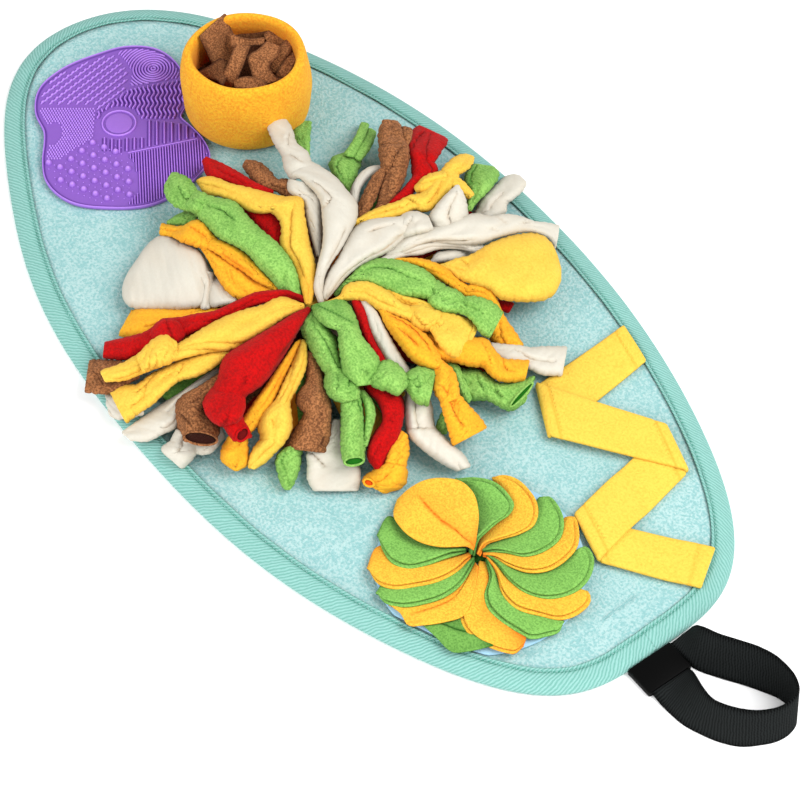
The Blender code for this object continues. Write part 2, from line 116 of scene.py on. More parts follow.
class SnuffleColours(bpy.types.PropertyGroup):
    """The dyes, each with the deeper tone that its painted shade goes to, in folds, grooves, pits and
    hollows.
    """

    aqua: colour("Aqua fleece", "Mat panel", (0.73, 0.86, 0.855))
    aqua_deep: colour("Aqua shade", "Pits of the mat's pile", (0.51, 0.735, 0.74))
    teal: colour("Teal tape", "Bound edge", (0.60, 0.81, 0.78))
    teal_deep: colour("Teal shade", "Between the tape's ribs", (0.27, 0.58, 0.51))
    purple: colour("Purple silicone", "Lick pad", (0.76, 0.54, 1.0))
    purple_deep: colour("Purple shade", "Grooves of the lick pad", (0.33, 0.13, 0.56))
    amber: colour("Amber fleece", "Cup and strips", (1.0, 0.75, 0.20))
    amber_deep: colour("Amber shade", "Folds of amber cloth", (0.93, 0.34, 0.02))
    yellow: colour("Yellow fleece", "Ribbon and strips", (1.0, 0.83, 0.33))
    yellow_deep: colour("Yellow shade", "Folds of yellow cloth", (0.86, 0.52, 0.05))
    red: colour("Red fleece", "Strips", (0.81, 0.01, 0.03))
    red_deep: colour("Red shade", "Folds of red cloth", (0.42, 0.0, 0.02))
    green: colour("Green fleece", "Strips", (0.625, 0.835, 0.42))
    green_deep: colour("Green shade", "Folds of green cloth", (0.10, 0.42, 0.06))
    orange_felt: colour("Orange felt", "Petals", (1.0, 0.80, 0.27))
    orange_felt_deep: colour("Orange felt shade", "Folds of orange felt", (0.90, 0.38, 0.02))
    green_felt: colour("Green felt", "Petals", (0.55, 0.79, 0.38))
    green_felt_deep: colour("Green felt shade", "Folds of green felt", (0.06, 0.32, 0.05))
    cream: colour("Cream fleece", "Strips", (0.865, 0.845, 0.79))
    cream_deep: colour("Cream shade", "Folds of cream cloth", (0.78, 0.69, 0.58))
    brown: colour("Brown fleece", "Strips", (0.74, 0.49, 0.31))
    brown_deep: colour("Brown shade", "Folds of brown cloth", (0.20, 0.07, 0.03))
    blue: colour("Blue felt", "Disc under the petals", (0.68, 0.86, 0.96))
    blue_deep: colour("Blue shade", "Pits of the felt", (0.50, 0.72, 0.80))
    black: colour("Black webbing", "Strap loop", (0.165, 0.175, 0.175))
    black_deep: colour("Black shade", "Between the webbing's ribs", (0.0, 0.0, 0.0))


class SnuffleSizes(bpy.types.PropertyGroup):
    """Sizes of the cloth and the sewing."""

    fleece: length("Fleece", "Thickness of a strip of fleece", 3.2 * MM)
    felt: length("Felt", "Thickness of a petal's layer", 1.7 * MM)
    webbing: length("Webbing", "Thickness of the strap", 1.6 * MM)
    ripple: length("Ripple", "Depth of the mat's soft ripples", 1.8 * MM)
    stitch: length("Stitch", "Length of a stitch", 2.4 * MM)
    stitch_gap: length("Stitch gap", "Gap between stitches", 0.9 * MM)
    thread: length("Thread", "Thickness of the thread", 0.7 * MM)


def settings():
    return bpy.context.scene.snuffle_sizes


# Frame places


def at_frame(x, y, height):
    """Points at known heights on the camera's rays through frame places: the ray runs from the camera along
    right and up by the place's offset over the focal length, and stops at the height."""
    x, y, height = np.broadcast_arrays(*(np.asarray(v, float) for v in (x, y, height)))
    half = FRAME_SIDE / 2
    focal = half / math.tan(math.radians(LENS_ANGLE / 2))
    ray = ((x - half) / focal)[..., None] * RIGHT + ((half - y) / focal)[..., None] * UP - BACK
    eye = AIM + CAMERA_DISTANCE * BACK
    share = (height - eye[2]) / ray[..., 2]
    return eye + share[..., None] * ray


def stations(table):
    """A table of frame x, frame y and height in mm, with more columns, as points in metres and the rest."""
    table = np.asarray(table, float)
    points = at_frame(table[:, 0], table[:, 1], table[:, 2] * MM)
    return np.column_stack((points, table[:, 3:]))


def travelled(path):
    """The length run along a path from its first point to each of its points."""
    return np.concatenate(((0,), np.cumsum(np.linalg.norm(np.diff(path, axis=0), axis=1))))


def cubic(knots, values, slopes, where):
    """Cubic curves from knot to knot with the values and slopes given there, read at the places in where."""
    i = np.clip(np.searchsorted(knots, where, side="right") - 1, 0, len(knots) - 2)
    wide = knots[i + 1] - knots[i]
    t = (where - knots[i]) / wide
    if values.ndim > 1:
        wide, t = wide[:, None], t[:, None]
    return (
        (1 + 2 * t) * (1 - t) ** 2 * values[i]
        + t * (1 - t) ** 2 * wide * slopes[i]
        + t**2 * (3 - 2 * t) * values[i + 1]
        + t**2 * (t - 1) * wide * slopes[i + 1]
    )


def eased(table, count):
    """The rows of a table joined by cubic curves with the mean slope at each row, read at even steps of the
    length that its first three columns run."""
    table = np.asarray(table, float)
    knots = travelled(table[:, :3])
    return cubic(knots, table, np.gradient(table, knots, axis=0), np.linspace(0, knots[-1], count))


def unit(vectors):
    return vectors / np.maximum(np.linalg.norm(vectors, axis=-1, keepdims=True), 1e-12)


# Surfaces: dicts of points, faces, lay (place along and across the cloth) and the share of painted shade (0
# open and lit, 1 deep in shade)


def grid_faces(rows, columns, round_rows=False, round_columns=False):
    """Corner numbers of the quads of a grid numbered row by row; a round grid joins its last to its first."""
    row = np.arange(rows if round_rows else rows - 1)[:, None]
    column = np.arange(columns if round_columns else columns - 1)[None, :]
    below, after = (row + 1) % rows, (column + 1) % columns
    row, below = row * columns, below * columns
    corners = (row + column, row + after, below + after, below + column)
    return np.stack(corners, axis=-1).reshape(-1, 4)


def surface(points, faces, lay=None, crease=0.0):
    """One surface, turned outwards where it encloses a volume."""
    shape = points.shape[:-1]
    flat = points.reshape(-1, 3)
    centred = flat - flat.mean(axis=0)
    a, b, c, d = (centred[faces[:, k]] for k in range(4))
    volume = (a * np.cross(b, c)).sum() + (a * np.cross(c, d)).sum()
    return {
        "points": flat,
        "faces": faces if volume > 0 else faces[:, ::-1],
        "lay": flat[:, :2] if lay is None else np.broadcast_to(lay, (*shape, 2)).reshape(-1, 2),
        "crease": np.broadcast_to(crease, shape).reshape(-1),
    }


def thick_sheet(middle, thick, crease=0.0, under=0.5):
    """A closed sheet round its middle surface, a grid of rows along and columns across. Each face stands half
    the thickness off along the normal, the cross product of the two ways of the grid, and every edge is
    rounded by points on a half circle. The under face adds its own share of painted shade."""
    rows, columns = middle.shape[:2]
    along, across = np.gradient(middle, axis=0), np.gradient(middle, axis=1)
    normal = unit(np.cross(along, across))
    half = np.broadcast_to(np.asarray(thick, float) / 2, (rows,))
    crease = np.broadcast_to(crease, (rows, columns))
    distance = travelled(middle[:, columns // 2])

    def lengthened(values):
        """Values with their first and last rows repeated for the rounded ends."""
        return np.concatenate((values[:1],) * 3 + (values,) + (values[-1:],) * 3)

    def wrapped(above, below):
        """Values of the upper face, one edge, the under face turned back and the other edge, side by side."""
        return np.concatenate(
            (above, above[:, -1:], below[:, -1:], below[:, ::-1], below[:, :1], above[:, :1]), axis=1)

    turns = np.radians((35, 68, 88))
    start, end = unit(middle[0] - middle[1]), unit(middle[-1] - middle[-2])
    before = [middle[0] + half[0] * np.sin(turn) * start for turn in turns[::-1]]
    beyond = [middle[-1] + half[-1] * np.sin(turn) * end for turn in turns]
    spread = np.concatenate((before, middle, beyond))
    high = np.concatenate((half[0] * np.cos(turns[::-1]), half, half[-1] * np.cos(turns)))
    normal, crease, distance = lengthened(normal), lengthened(crease), lengthened(distance)
    lift = high[:, None, None] * normal
    left, right = unit(spread[:, 0] - spread[:, 1]), unit(spread[:, -1] - spread[:, -2])
    out = (0.87 * high)[:, None]
    edge = [
        spread[:, -1] + out * right + 0.5 * lift[:, -1], spread[:, -1] + out * right - 0.5 * lift[:, -1],
        spread[:, 0] + out * left - 0.5 * lift[:, 0], spread[:, 0] + out * left + 0.5 * lift[:, 0],
    ]
    loop = np.concatenate((
        spread + lift, edge[0][:, None], edge[1][:, None],
        (spread - lift)[:, ::-1], edge[2][:, None], edge[3][:, None],
    ), axis=1)
    reach = np.linalg.norm(np.diff(spread, axis=1), axis=2)
    place = np.concatenate((np.zeros((len(spread), 1)), np.cumsum(reach, axis=1)), axis=1)
    place = wrapped(place, place)
    lay = np.stack((np.broadcast_to(distance[:, None], place.shape), place), axis=-1)
    # The under face takes more painted shade.
    tone = wrapped(crease, np.clip(crease + under, 0, 1))
    total, count = loop.shape[:2]
    i = np.arange(columns - 1)
    cap = np.stack((i, i + 1, 2 * columns - i, 2 * columns + 1 - i), axis=1)
    far = 2 * columns + 1
    sides = [(columns - 1, columns, columns + 1, columns + 2), (far, far + 1, far + 2, 0)]
    cap = np.concatenate((cap, sides))
    last = (total - 1) * count
    faces = np.concatenate((grid_faces(total, count, round_columns=True), cap[:, ::-1], cap + last))
    return surface(loop, faces, lay, tone)


def band(path, width, curl, columns=15):
    """Middle surface of a strip carried along a path. Each section is an arc of half angle curl in degrees
    and chord width, with its crown on the path: past 90 degrees it rolls towards a tube. Its normal is the
    upward direction squared up to the path."""
    along = unit(np.gradient(path, axis=0))
    facing = np.broadcast_to((0.0, 0.0, 1.0), path.shape)
    normal = unit(facing - (facing * along).sum(axis=1, keepdims=True) * along)
    side = np.cross(along, normal)
    half = np.radians(np.clip(curl, 4, 165))[:, None]
    radius = 0.5 * np.asarray(width)[:, None] / np.sin(np.minimum(half, np.pi / 2))
    turn = half * np.linspace(-1, 1, columns)
    across, high = radius * np.sin(turn), radius * np.cos(turn) - radius
    return path[:, None] + across[..., None] * side[:, None] + high[..., None] * normal[:, None]


def lump(centre, axes, rows=14, columns=20):
    """A closed rounded lump: a sphere's points times the three axes."""
    tilt = np.linspace(0, np.pi, rows)[:, None]
    turn = np.linspace(0, 2 * np.pi, columns, endpoint=False)[None, :]
    parts = (np.cos(tilt), np.sin(tilt) * np.cos(turn), np.sin(tilt) * np.sin(turn))
    ball = np.stack(np.broadcast_arrays(*parts), axis=-1)
    faces = grid_faces(rows, columns, round_columns=True)
    # The whole lump carries a light share of painted shade.
    return surface(centre + ball @ np.asarray(axes), faces, crease=0.25)


def loops_surface(loops, lay=None):
    """A closed surface through loops of equally many points, each end drawn in to its middle."""
    loops = np.concatenate((
        np.broadcast_to(loops[0].mean(axis=0), (1, *loops[0].shape)), loops,
        np.broadcast_to(loops[-1].mean(axis=0), (1, *loops[-1].shape))))
    rows, columns = loops.shape[:2]
    if lay is not None:
        lay = np.concatenate((lay[:1], lay, lay[-1:]))
    return surface(loops, grid_faces(rows, columns, round_columns=True), lay)


def tube(path, radius, sides=6):
    """A closed round thread along a path: a circle of points in the plane across the path, drawn in at each
    end."""
    along = unit(np.gradient(path, axis=0))
    side = unit(np.cross(along, (0, 0, 1)))
    up = np.cross(side, along)
    ends = np.sqrt(np.clip(1 - np.abs(np.linspace(-1, 1, len(path))) ** 8, 0.02, 1))
    turn = np.linspace(0, 2 * np.pi, sides, endpoint=False)
    ring = np.cos(turn)[None, :, None] * side[:, None] + np.sin(turn)[None, :, None] * up[:, None]
    return loops_surface(path[:, None] + (radius * ends)[:, None, None] * ring)


def stitches(path, height):
    """Threads in a row along a plan path, each an arched tube with both ends sunk in the cloth."""
    size = settings()
    along = travelled(path)
    pitch = size.stitch + size.stitch_gap
    made = []
    for start in np.arange(0, along[-1] - size.stitch, pitch):
        t = np.linspace(start, start + size.stitch, 5)
        plan = np.column_stack([np.interp(t, along, path[:, k]) for k in range(2)])
        rise = np.interp(t, along, np.broadcast_to(height, along.shape))
        arch = rise - 0.3 * size.thread + 0.5 * size.thread * np.sin(np.linspace(0, np.pi, 5))
        made.append(tube(np.column_stack((plan, arch)), 0.5 * size.thread, sides=5))
    return made


def piece(name, surfaces, finish, nodes=()):
    """One object from its surfaces, with lay and the share of painted shade kept as point attributes.
    It rides on the body.
    """
    starts = np.cumsum([0] + [len(item["points"]) for item in surfaces[:-1]])
    faces = np.concatenate([item["faces"] + start for item, start in zip(surfaces, starts)])
    mesh = bpy.data.meshes.new(name)
    mesh.from_pydata(np.concatenate([item["points"] for item in surfaces]).tolist(), [], faces.tolist())
    lay = np.concatenate([item["lay"] for item in surfaces])
    mesh.attributes.new("lay", "FLOAT_VECTOR", "POINT").data.foreach_set(
        "vector", np.column_stack((lay, np.zeros(len(lay)))).astype(np.float32).ravel())
    crease = np.concatenate([item["crease"] for item in surfaces])
    mesh.attributes.new("crease", "FLOAT", "POINT").data.foreach_set("value", crease.astype(np.float32))
    shape = bmesh.new()
    shape.from_mesh(mesh)
    bmesh.ops.remove_doubles(shape, verts=shape.verts, dist=2e-7)
    bmesh.ops.dissolve_degenerate(shape, edges=shape.edges, dist=1e-8)
    shape.to_mesh(mesh)
    shape.free()
    mesh.materials.append(finish)
    mesh.shade_smooth()
    made = bpy.data.objects.new(name, mesh)
    bpy.context.scene.collection.objects.link(made)
    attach(made, BODY)
    if nodes:
        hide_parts(*nodes)
    return made


# Materials

COLOUR, NUMBER = "NodeSocketColor", "NodeSocketFloat"


def node(tree, kind, **values):
    made = tree.nodes.new(kind)
    for key, value in values.items():
        setattr(made, key, value)
    return made


def calculate(tree, operation, *values):
    """A Math node over sockets or numbers."""
    made = node(tree, "ShaderNodeMath", operation=operation)
    for socket, value in zip(made.inputs, values):
        if isinstance(value, (int, float)):
            socket.default_value = value
        else:
            tree.links.new(value, socket)
    return made.outputs[0]


def times(tree, *values):
    return calculate(tree, "MULTIPLY", *values)


def plus(tree, *values):
    return calculate(tree, "ADD", *values)


def minus(tree, *values):
    return calculate(tree, "SUBTRACT", *values)


def clamped(value):
    """A Math node's value held between 0 and 1."""
    value.node.use_clamp = True
    return value


def mixed(tree, share, first, second):
    """A Mix node between two colour sockets."""
    made = node(tree, "ShaderNodeMix", data_type="RGBA")
    tree.links.new(share, made.inputs[0])
    tree.links.new(first, made.inputs[6])
    tree.links.new(second, made.inputs[7])
    return made.outputs[2]


def noise(tree, place, scale, detail=2.0):
    made = node(tree, "ShaderNodeTexNoise")
    tree.links.new(place, made.inputs["Vector"])
    made.inputs["Detail"].default_value = detail
    if isinstance(scale, (int, float)):
        made.inputs["Scale"].default_value = scale
    else:
        tree.links.new(scale, made.inputs["Scale"])
    return made.outputs["Fac"]


def group(name, inputs, outputs):
    """A shader node group with its named sockets."""
    tree = bpy.data.node_groups.new(name, "ShaderNodeTree")
    for label, kind, default in inputs:
        socket = tree.interface.new_socket(label, in_out="INPUT", socket_type=kind)
        if default is not None:
            socket.default_value = default
    for label, kind in outputs:
        tree.interface.new_socket(label, in_out="OUTPUT", socket_type=kind)
    return tree, tree.nodes.new("NodeGroupInput"), tree.nodes.new("NodeGroupOutput")


def pile_group():
    """Brushed pile: tufts of noise at the pile's scale, sharpened by a second finer noise, leave pits in a
    darker tone of the dye: painted shade in the pile's hollows on fleece, faint flow marks on silicone. A
    broad mottle moves the pile's depth, and the painted shade of folds and hollows goes to the deep tone."""
    if "brushed_pile" in bpy.data.node_groups:
        return bpy.data.node_groups["brushed_pile"]
    tree, given, made = group(
        "brushed_pile",
        (("Colour", COLOUR, None), ("Pit", COLOUR, None), ("Deep", COLOUR, None), ("Shade", NUMBER, 0.0),
         ("Tufts", NUMBER, 600.0), ("Contrast", NUMBER, 1.0)),
        (("Colour", COLOUR), ("Height", NUMBER)))
    place = tree.nodes.new("ShaderNodeTexCoord").outputs["Object"]
    tufts = noise(tree, place, given.outputs["Tufts"], 1.0)
    fuzz = noise(tree, place, times(tree, given.outputs["Tufts"], 2.6), 1.0)
    mottle = noise(tree, place, 60.0)
    height = plus(tree, times(tree, tufts, 0.7), times(tree, fuzz, 0.3))
    level_of = plus(tree, height, times(tree, minus(tree, mottle, 0.5), 0.2))
    # Pits below the tufts go to the pit tone: painted shade in the pile's hollows.
    pits = times(tree, minus(tree, 0.60, level_of), 3.4)
    pits = clamped(times(tree, pits, given.outputs["Contrast"]))
    napped = mixed(tree, pits, given.outputs["Colour"], given.outputs["Pit"])
    # The share of painted shade from the mesh mixes towards the deep tone.
    share = clamped(plus(tree, given.outputs["Shade"], 0.0))
    tree.links.new(mixed(tree, share, napped, given.outputs["Deep"]), made.inputs["Colour"])
    tree.links.new(height, made.inputs["Height"])
    return tree


def ribs_group():
    """Woven ribs: a sine wave of the cloth's own place, counted in ribs for each metre along and across it,
    with a finer cross weave and a little noise."""
    if "woven_ribs" in bpy.data.node_groups:
        return bpy.data.node_groups["woven_ribs"]
    tree, given, made = group(
        "woven_ribs",
        (("Colour", COLOUR, None), ("Deep", COLOUR, None), ("Lay", "NodeSocketVector", None),
         ("Along", NUMBER, 400.0), ("Across", NUMBER, 400.0), ("Weave", NUMBER, 900.0),
         ("Shade", NUMBER, 0.0)),
        (("Colour", COLOUR), ("Height", NUMBER)))
    parts = tree.nodes.new("ShaderNodeSeparateXYZ")
    tree.links.new(given.outputs["Lay"], parts.inputs[0])
    along, across = parts.outputs[0], parts.outputs[1]
    uneven = times(tree, noise(tree, given.outputs["Lay"], 160.0), 1.2)
    count = plus(
        tree, times(tree, along, given.outputs["Along"]), times(tree, across, given.outputs["Across"]))
    wave = calculate(tree, "SINE", times(tree, plus(tree, count, uneven), 2 * math.pi))
    cross = minus(
        tree, times(tree, along, given.outputs["Weave"]), times(tree, across, given.outputs["Weave"]))
    weave = calculate(tree, "SINE", times(tree, cross, 2 * math.pi))
    height = plus(tree, times(tree, wave, 0.38), times(tree, weave, 0.12))
    height = plus(tree, height, 0.5)
    fibres = noise(tree, given.outputs["Lay"], 1500.0)
    # The low places between the ribs go towards the deep tone as painted shade, and the mesh's share of
    # painted shade adds to it.
    share = minus(tree, times(tree, minus(tree, 0.9, height), 0.85), times(tree, fibres, 0.25))
    share = clamped(plus(tree, share, given.outputs["Shade"]))
    tree.links.new(mixed(tree, share, given.outputs["Colour"], given.outputs["Deep"]), made.inputs["Colour"])
    tree.links.new(height, made.inputs["Height"])
    return tree


# Reads the share of painted shade that each mesh carries.
def painted_shade_of(tree):
    return node(tree, "ShaderNodeAttribute", attribute_name="crease").outputs["Fac"]


def fill(made, **values):
    """Sets constants on a node's input sockets. An underscore stands for a space in a socket's name."""
    for label, value in values.items():
        made.inputs[label.replace("_", " ")].default_value = value


def start_material(name, roughness, sheen=0.0):
    made = bpy.data.materials.new(name)
    made.use_nodes = True
    shader = made.node_tree.nodes["Principled BSDF"]
    fill(shader, Roughness=roughness, Sheen_Weight=sheen, Sheen_Roughness=0.5, Specular_IOR_Level=0.2)
    return made, made.node_tree, shader


def add_bump(tree, shader, height, depth, strength):
    bump = tree.nodes.new("ShaderNodeBump")
    fill(bump, Distance=depth, Strength=strength)
    tree.links.new(height, bump.inputs["Height"])
    tree.links.new(bump.outputs["Normal"], shader.inputs["Normal"])


def dress(tree, shader, pattern, depth, strength, **values):
    """Joins a pattern's node group to the shader: its colour, and its height as a bump. The group takes the
    share of painted shade from the cloth."""
    cloth = node(tree, "ShaderNodeGroup", node_tree=pattern)
    fill(cloth, **values)
    tree.links.new(painted_shade_of(tree), cloth.inputs["Shade"])
    tree.links.new(cloth.outputs["Colour"], shader.inputs["Base Color"])
    add_bump(tree, shader, cloth.outputs["Height"], depth, strength)
    return cloth


def dye(name):
    """A dye and the deeper tone of its painted shade, as linear colours with alpha."""
    colours = bpy.context.scene.snuffle_colours
    return tuple((*linear(getattr(colours, kept)), 1) for kept in (name, name + "_deep"))


def between(light, deep, share):
    """A tone part of the way from one colour to another."""
    return tuple((1 - share) * np.asarray(light) + share * np.asarray(deep))


def fleece(name, dye_name, tufts=560.0, contrast=1.2, depth=1.5 * MM, strength=0.65, pit=0.42, sheen=0.2):
    """Brushed fleece or felt in one dye."""
    name = "cloth_" + name
    if name in bpy.data.materials:
        return bpy.data.materials[name]
    made, tree, shader = start_material(name, 0.95, sheen=sheen)
    light, deep = dye(dye_name)
    fill(shader, Sheen_Tint=between((1.0, 1.0, 1.0, 1.0), light, 0.93))
    dress(tree, shader, pile_group(), depth, strength, Colour=light, Pit=between(light, deep, pit), Deep=deep,
          Tufts=tufts, Contrast=contrast)
    made.diffuse_color = light
    return made


def woven(name, dye_name, along, across, weave, depth=0.5 * MM, roughness=0.85, sheen=0.1):
    """Ribbed tape or webbing in one dye."""
    made, tree, shader = start_material("woven_" + name, roughness, sheen=sheen)
    light, deep = dye(dye_name)
    ribs = dress(tree, shader, ribs_group(), depth, 0.7, Colour=light, Deep=deep, Along=along, Across=across,
                 Weave=weave)
    lay = node(tree, "ShaderNodeAttribute", attribute_name="lay")
    tree.links.new(lay.outputs["Vector"], ribs.inputs["Lay"])
    return made


def silicone():
    """Soft moulded silicone: the relief's low places take painted shade in the deep tone, with faint flow
    marks and a satin coat.
    """
    made, tree, shader = start_material("moulded_silicone", 0.42)
    light, deep = dye("purple")
    fill(shader, Specular_IOR_Level=0.45, Coat_Weight=0.12, Coat_Roughness=0.35)
    dress(tree, shader, pile_group(), 0.1 * MM, 0.3, Colour=light, Pit=between(light, deep, 0.15), Deep=deep,
          Tufts=260.0, Contrast=0.3)
    return made


def plastic():
    """Moulded black plastic with a fine eroded grain."""
    made, tree, shader = start_material("moulded_plastic", 0.42)
    grain = noise(tree, tree.nodes.new("ShaderNodeTexCoord").outputs["Object"], 2200.0)
    tone = node(tree, "ShaderNodeMapRange")
    fill(tone, To_Min=0.35, To_Max=0.6)
    tree.links.new(grain, tone.inputs["Value"])
    tree.links.new(tone.outputs["Result"], shader.inputs["Roughness"])
    fill(shader, Base_Color=(0.002, 0.002, 0.002, 1), Specular_IOR_Level=0.07)
    fill(shader, Specular_Tint=(0.35, 0.35, 0.35, 1))
    add_bump(tree, shader, grain, 0.1 * MM, 0.25)
    return made


# Mat, tape and stage


def mat_outline(count):
    """An ellipse whose radius carries the small waves of the edge."""
    turn = 2 * np.pi * np.arange(count) / count
    scale = np.ones(count)
    for waves, cosine, sine in EDGE_WAVES:
        scale += cosine * np.cos(waves * turn) + sine * np.sin(waves * turn)
    return np.column_stack((
        MAT_HALF_LENGTH * np.cos(turn) * scale, MAT_HALF_WIDTH * np.sin(turn) * scale))


def inset(outline, distance):
    """A closed anticlockwise outline moved inwards along its normals."""
    along = unit(np.roll(outline, -1, axis=0) - np.roll(outline, 1, axis=0))
    return outline + distance * np.column_stack((-along[:, 1], along[:, 0]))


def level(plan, height):
    return np.concatenate((plan, np.broadcast_to(height, plan.shape[:-1])[..., None]), axis=-1)


def ripples(plan):
    """Soft ripples of the panel, from 0 down to 1: products of slow sine waves of the plan place."""
    x, y = plan[..., 0] / 0.05, plan[..., 1] / 0.04
    wave = np.sin(1.9 * x + 0.9 * np.sin(y)) * np.cos(1.3 * y - 0.6 * x) + 0.5 * np.sin(2.7 * y + 1.1 * x)
    return np.clip(0.5 + 0.36 * wave, 0, 1)


class SNUFFLE_OT_stage(bpy.types.Operator):
    """Pale floor, soft studio light and the camera"""

    bl_idname = "snuffle.stage"
    bl_label = "Stage"

    def execute(self, context):
        scene = context.scene
        scene.view_settings.view_transform = "Standard"
        mesh = bpy.data.meshes.new("floor")
        mesh.from_pydata([(-4, -4, 0), (4, -4, 0), (4, 4, 0), (-4, 4, 0)], [], [(0, 1, 2, 3)])
        floor = bpy.data.objects.new("floor", mesh)
        scene.collection.objects.link(floor)
        paper, _, shader = start_material("white_paper", 0.9)
        fill(shader, Base_Color=(0.97, 0.97, 0.97, 1))
        mesh.materials.append(paper)
        world = bpy.data.worlds.new("studio")
        world.use_nodes = True
        fill(world.node_tree.nodes["Background"], Color=(1, 1, 1, 1), Strength=0.60)
        scene.world = world
        lights = (  # name, place, watts, side
            ("key_light", AIM + 2.0 * (0.62 * BACK + 0.52 * RIGHT + 0.34 * UP), 33.0, 1.2),
            ("side_light", AIM + 2.0 * (0.55 * BACK - 0.72 * RIGHT + 0.12 * UP), 19.0, 1.2),
            ("front_light", AIM + np.array((1.55, -1.15, 0.75)), 19.0, 1.3),
        )
        for name, place, watts, side in lights:
            lamp = bpy.data.lights.new(name, "AREA")
            lamp.energy = watts
            lamp.size = side
            light = bpy.data.objects.new(name, lamp)
            aim = Vector(place - AIM).to_track_quat("Z", "Y")
            light.matrix_world = Matrix.Translation(place) @ aim.to_matrix().to_4x4()
            scene.collection.objects.link(light)
        lens = bpy.data.cameras.new("camera")
        lens.sensor_width = 36
        lens.angle = math.radians(LENS_ANGLE)
        camera = bpy.data.objects.new("camera", lens)
        turn = Matrix((RIGHT, UP, BACK)).transposed().to_4x4()
        camera.matrix_world = Matrix.Translation(AIM + CAMERA_DISTANCE * BACK) @ turn
        scene.collection.objects.link(camera)
        scene.camera = camera
        return {"FINISHED"}


class SNUFFLE_OT_mat_panel(bpy.types.Operator):
    """Aqua fleece panel with soft ripples and a short seam near the strap"""

    bl_idname = "snuffle.mat_panel"
    bl_label = "Mat panel"

    def execute(self, context):
        size = settings()
        edge = inset(mat_outline(240), 14.5 * MM)
        share = np.linspace(0.015, 1, 60)[:, None, None]
        plan = share * edge
        dip = size.ripple * ripples(plan) * np.clip((1 - share[..., 0]) / 0.06, 0.25, 1)
        top = level(plan, MAT_TOP - dip)
        rims = ((1.0, 1.8), (1.0, 0.2), (0.9, 0.1), (0.1, 0.1))  # share of the edge and height in mm
        under = [level(out * edge, high * MM) for out, high in rims]
        # Painted shade in the dips of the ripples.
        tone = np.concatenate((0.12 * ripples(plan), np.zeros((4, len(edge)))))
        loops = np.concatenate((top, under))
        body = loops_surface(loops)
        body["crease"] = np.concatenate((tone[:1], tone, tone[-1:])).reshape(-1)
        seam = np.linspace(SIDE_SEAM[0], SIDE_SEAM[1], 40)
        line = tube(level(seam, MAT_TOP - 0.15 * MM), 0.45 * MM)
        line["crease"] = np.full(len(line["points"]), 0.6)
        surfaces = [body, line]
        finish = fleece("aqua_fleece", "aqua", 520.0, 1.5, 1.4 * MM, 0.8, 0.75)
        made = piece("mat_panel_cloth", surfaces, finish, ("mat_panel",))
        return {"FINISHED"}


class SNUFFLE_OT_binding(bpy.types.Operator):
    """Ribbed teal tape folded round the panel's edge and stitched near its inner edge"""

    bl_idname = "snuffle.binding"
    bl_label = "Binding"

    def execute(self, context):
        outline = mat_outline(640)

        def under(distance):
            return 3.85 + 0.3106 * (distance - 1.9)

        section = (  # inset and height in mm, round the folded tape
            (16.0, under(16) + 0.1), (16.1, under(16) + 0.8), (15.2, under(15) + 1.45),
            (14.3, under(14.3) + 1.3), (13.6, under(13.6) + 0.75), (13.0, under(13) + 0.75),
            (12.3, under(12.3) + 1.35), (10.5, under(10.5) + 1.9), (7.5, under(7.5) + 2.1),
            (4.5, under(4.5) + 2.1), (2.4, under(2.4) + 1.75), (0.9, under(0.9) + 1.0), (0.2, 2.9),
            (0.1, 1.9), (0.7, 0.8), (2.5, 0.15), (8.0, 0.05), (15.8, 0.05), (16.1, 0.6), (15.8, 1.2),
            (8.0, 1.3), (1.7, 1.3), (1.7, under(1.7)), (8.0, under(8)),
        )
        corners = np.array(section)
        plan = np.stack([inset(outline, distance * MM) for distance, _ in section], axis=1)
        plan = np.concatenate((plan, plan[:3]))
        turn = np.linspace(0, 2 * np.pi, len(plan))
        puff = 0.25 * np.sin(9 * turn) * np.sin(23 * turn + 1) + 0.2 * np.sin(41 * turn)
        lifted = np.clip((corners[:, 1] - 3.2) / 2, 0, 1) * np.clip(corners[:, 0] / 3, 0, 1)
        loops = level(plan, MM * (corners[:, 1] + lifted * puff[:, None]))
        place = travelled(plan[:, 8])
        reach = MM * travelled(corners)
        lay = np.stack(np.broadcast_arrays(place[:, None], reach[None, :]), axis=-1)
        body = loops_surface(loops, lay=lay)
        # Painted shade: a dark line in the groove along the stitches, and a darker band at the tape's inner
        # edge by the panel.
        tone = np.zeros(len(section))
        tone[3:7] = (0.15, 0.5, 0.5, 0.15)
        tone[0:2] = 0.35
        body["crease"] = np.tile(tone, len(loops) + 2)
        seam = inset(outline, 13.3 * MM)
        height = MM * (under(13.3) + 1.05)
        surfaces = [body, *stitches(np.concatenate((seam, seam[:1])), height)]
        tape = woven("teal_tape", "teal", 330.0, 330.0, 800.0)
        made = piece("binding_tape", surfaces, tape, ("binding",))
        return {"FINISHED"}


# Lick pad, in mm across and in front of its ring


def pad_radius(turn):
    """Radius in mm at each angle in degrees, eased round the circle."""
    angles, radii = np.array(PAD_OUTLINE, float).T
    knots = np.concatenate((angles[-2:] - 360, angles, angles[:3] + 360))
    values = np.concatenate((radii[-2:], radii, radii[:3]))
    return cubic(knots, values, np.gradient(values, knots), np.mod(turn, 360))


def pad_plan(across, front):
    """Plan places in metres from mm across and in front of the ring."""
    return PAD_CENTRE + MM * (np.asarray(across)[..., None] * ACROSS + np.asarray(front)[..., None] * FRONT)


def on_pad(across, front, margin):
    """Which places lie inside the rim by a margin in mm."""
    plan = pad_plan(across, front) - PAD_CENTRE
    turn = np.degrees(np.arctan2(plan[..., 1], plan[..., 0]))
    return np.hypot(across, front) < pad_radius(turn) - margin


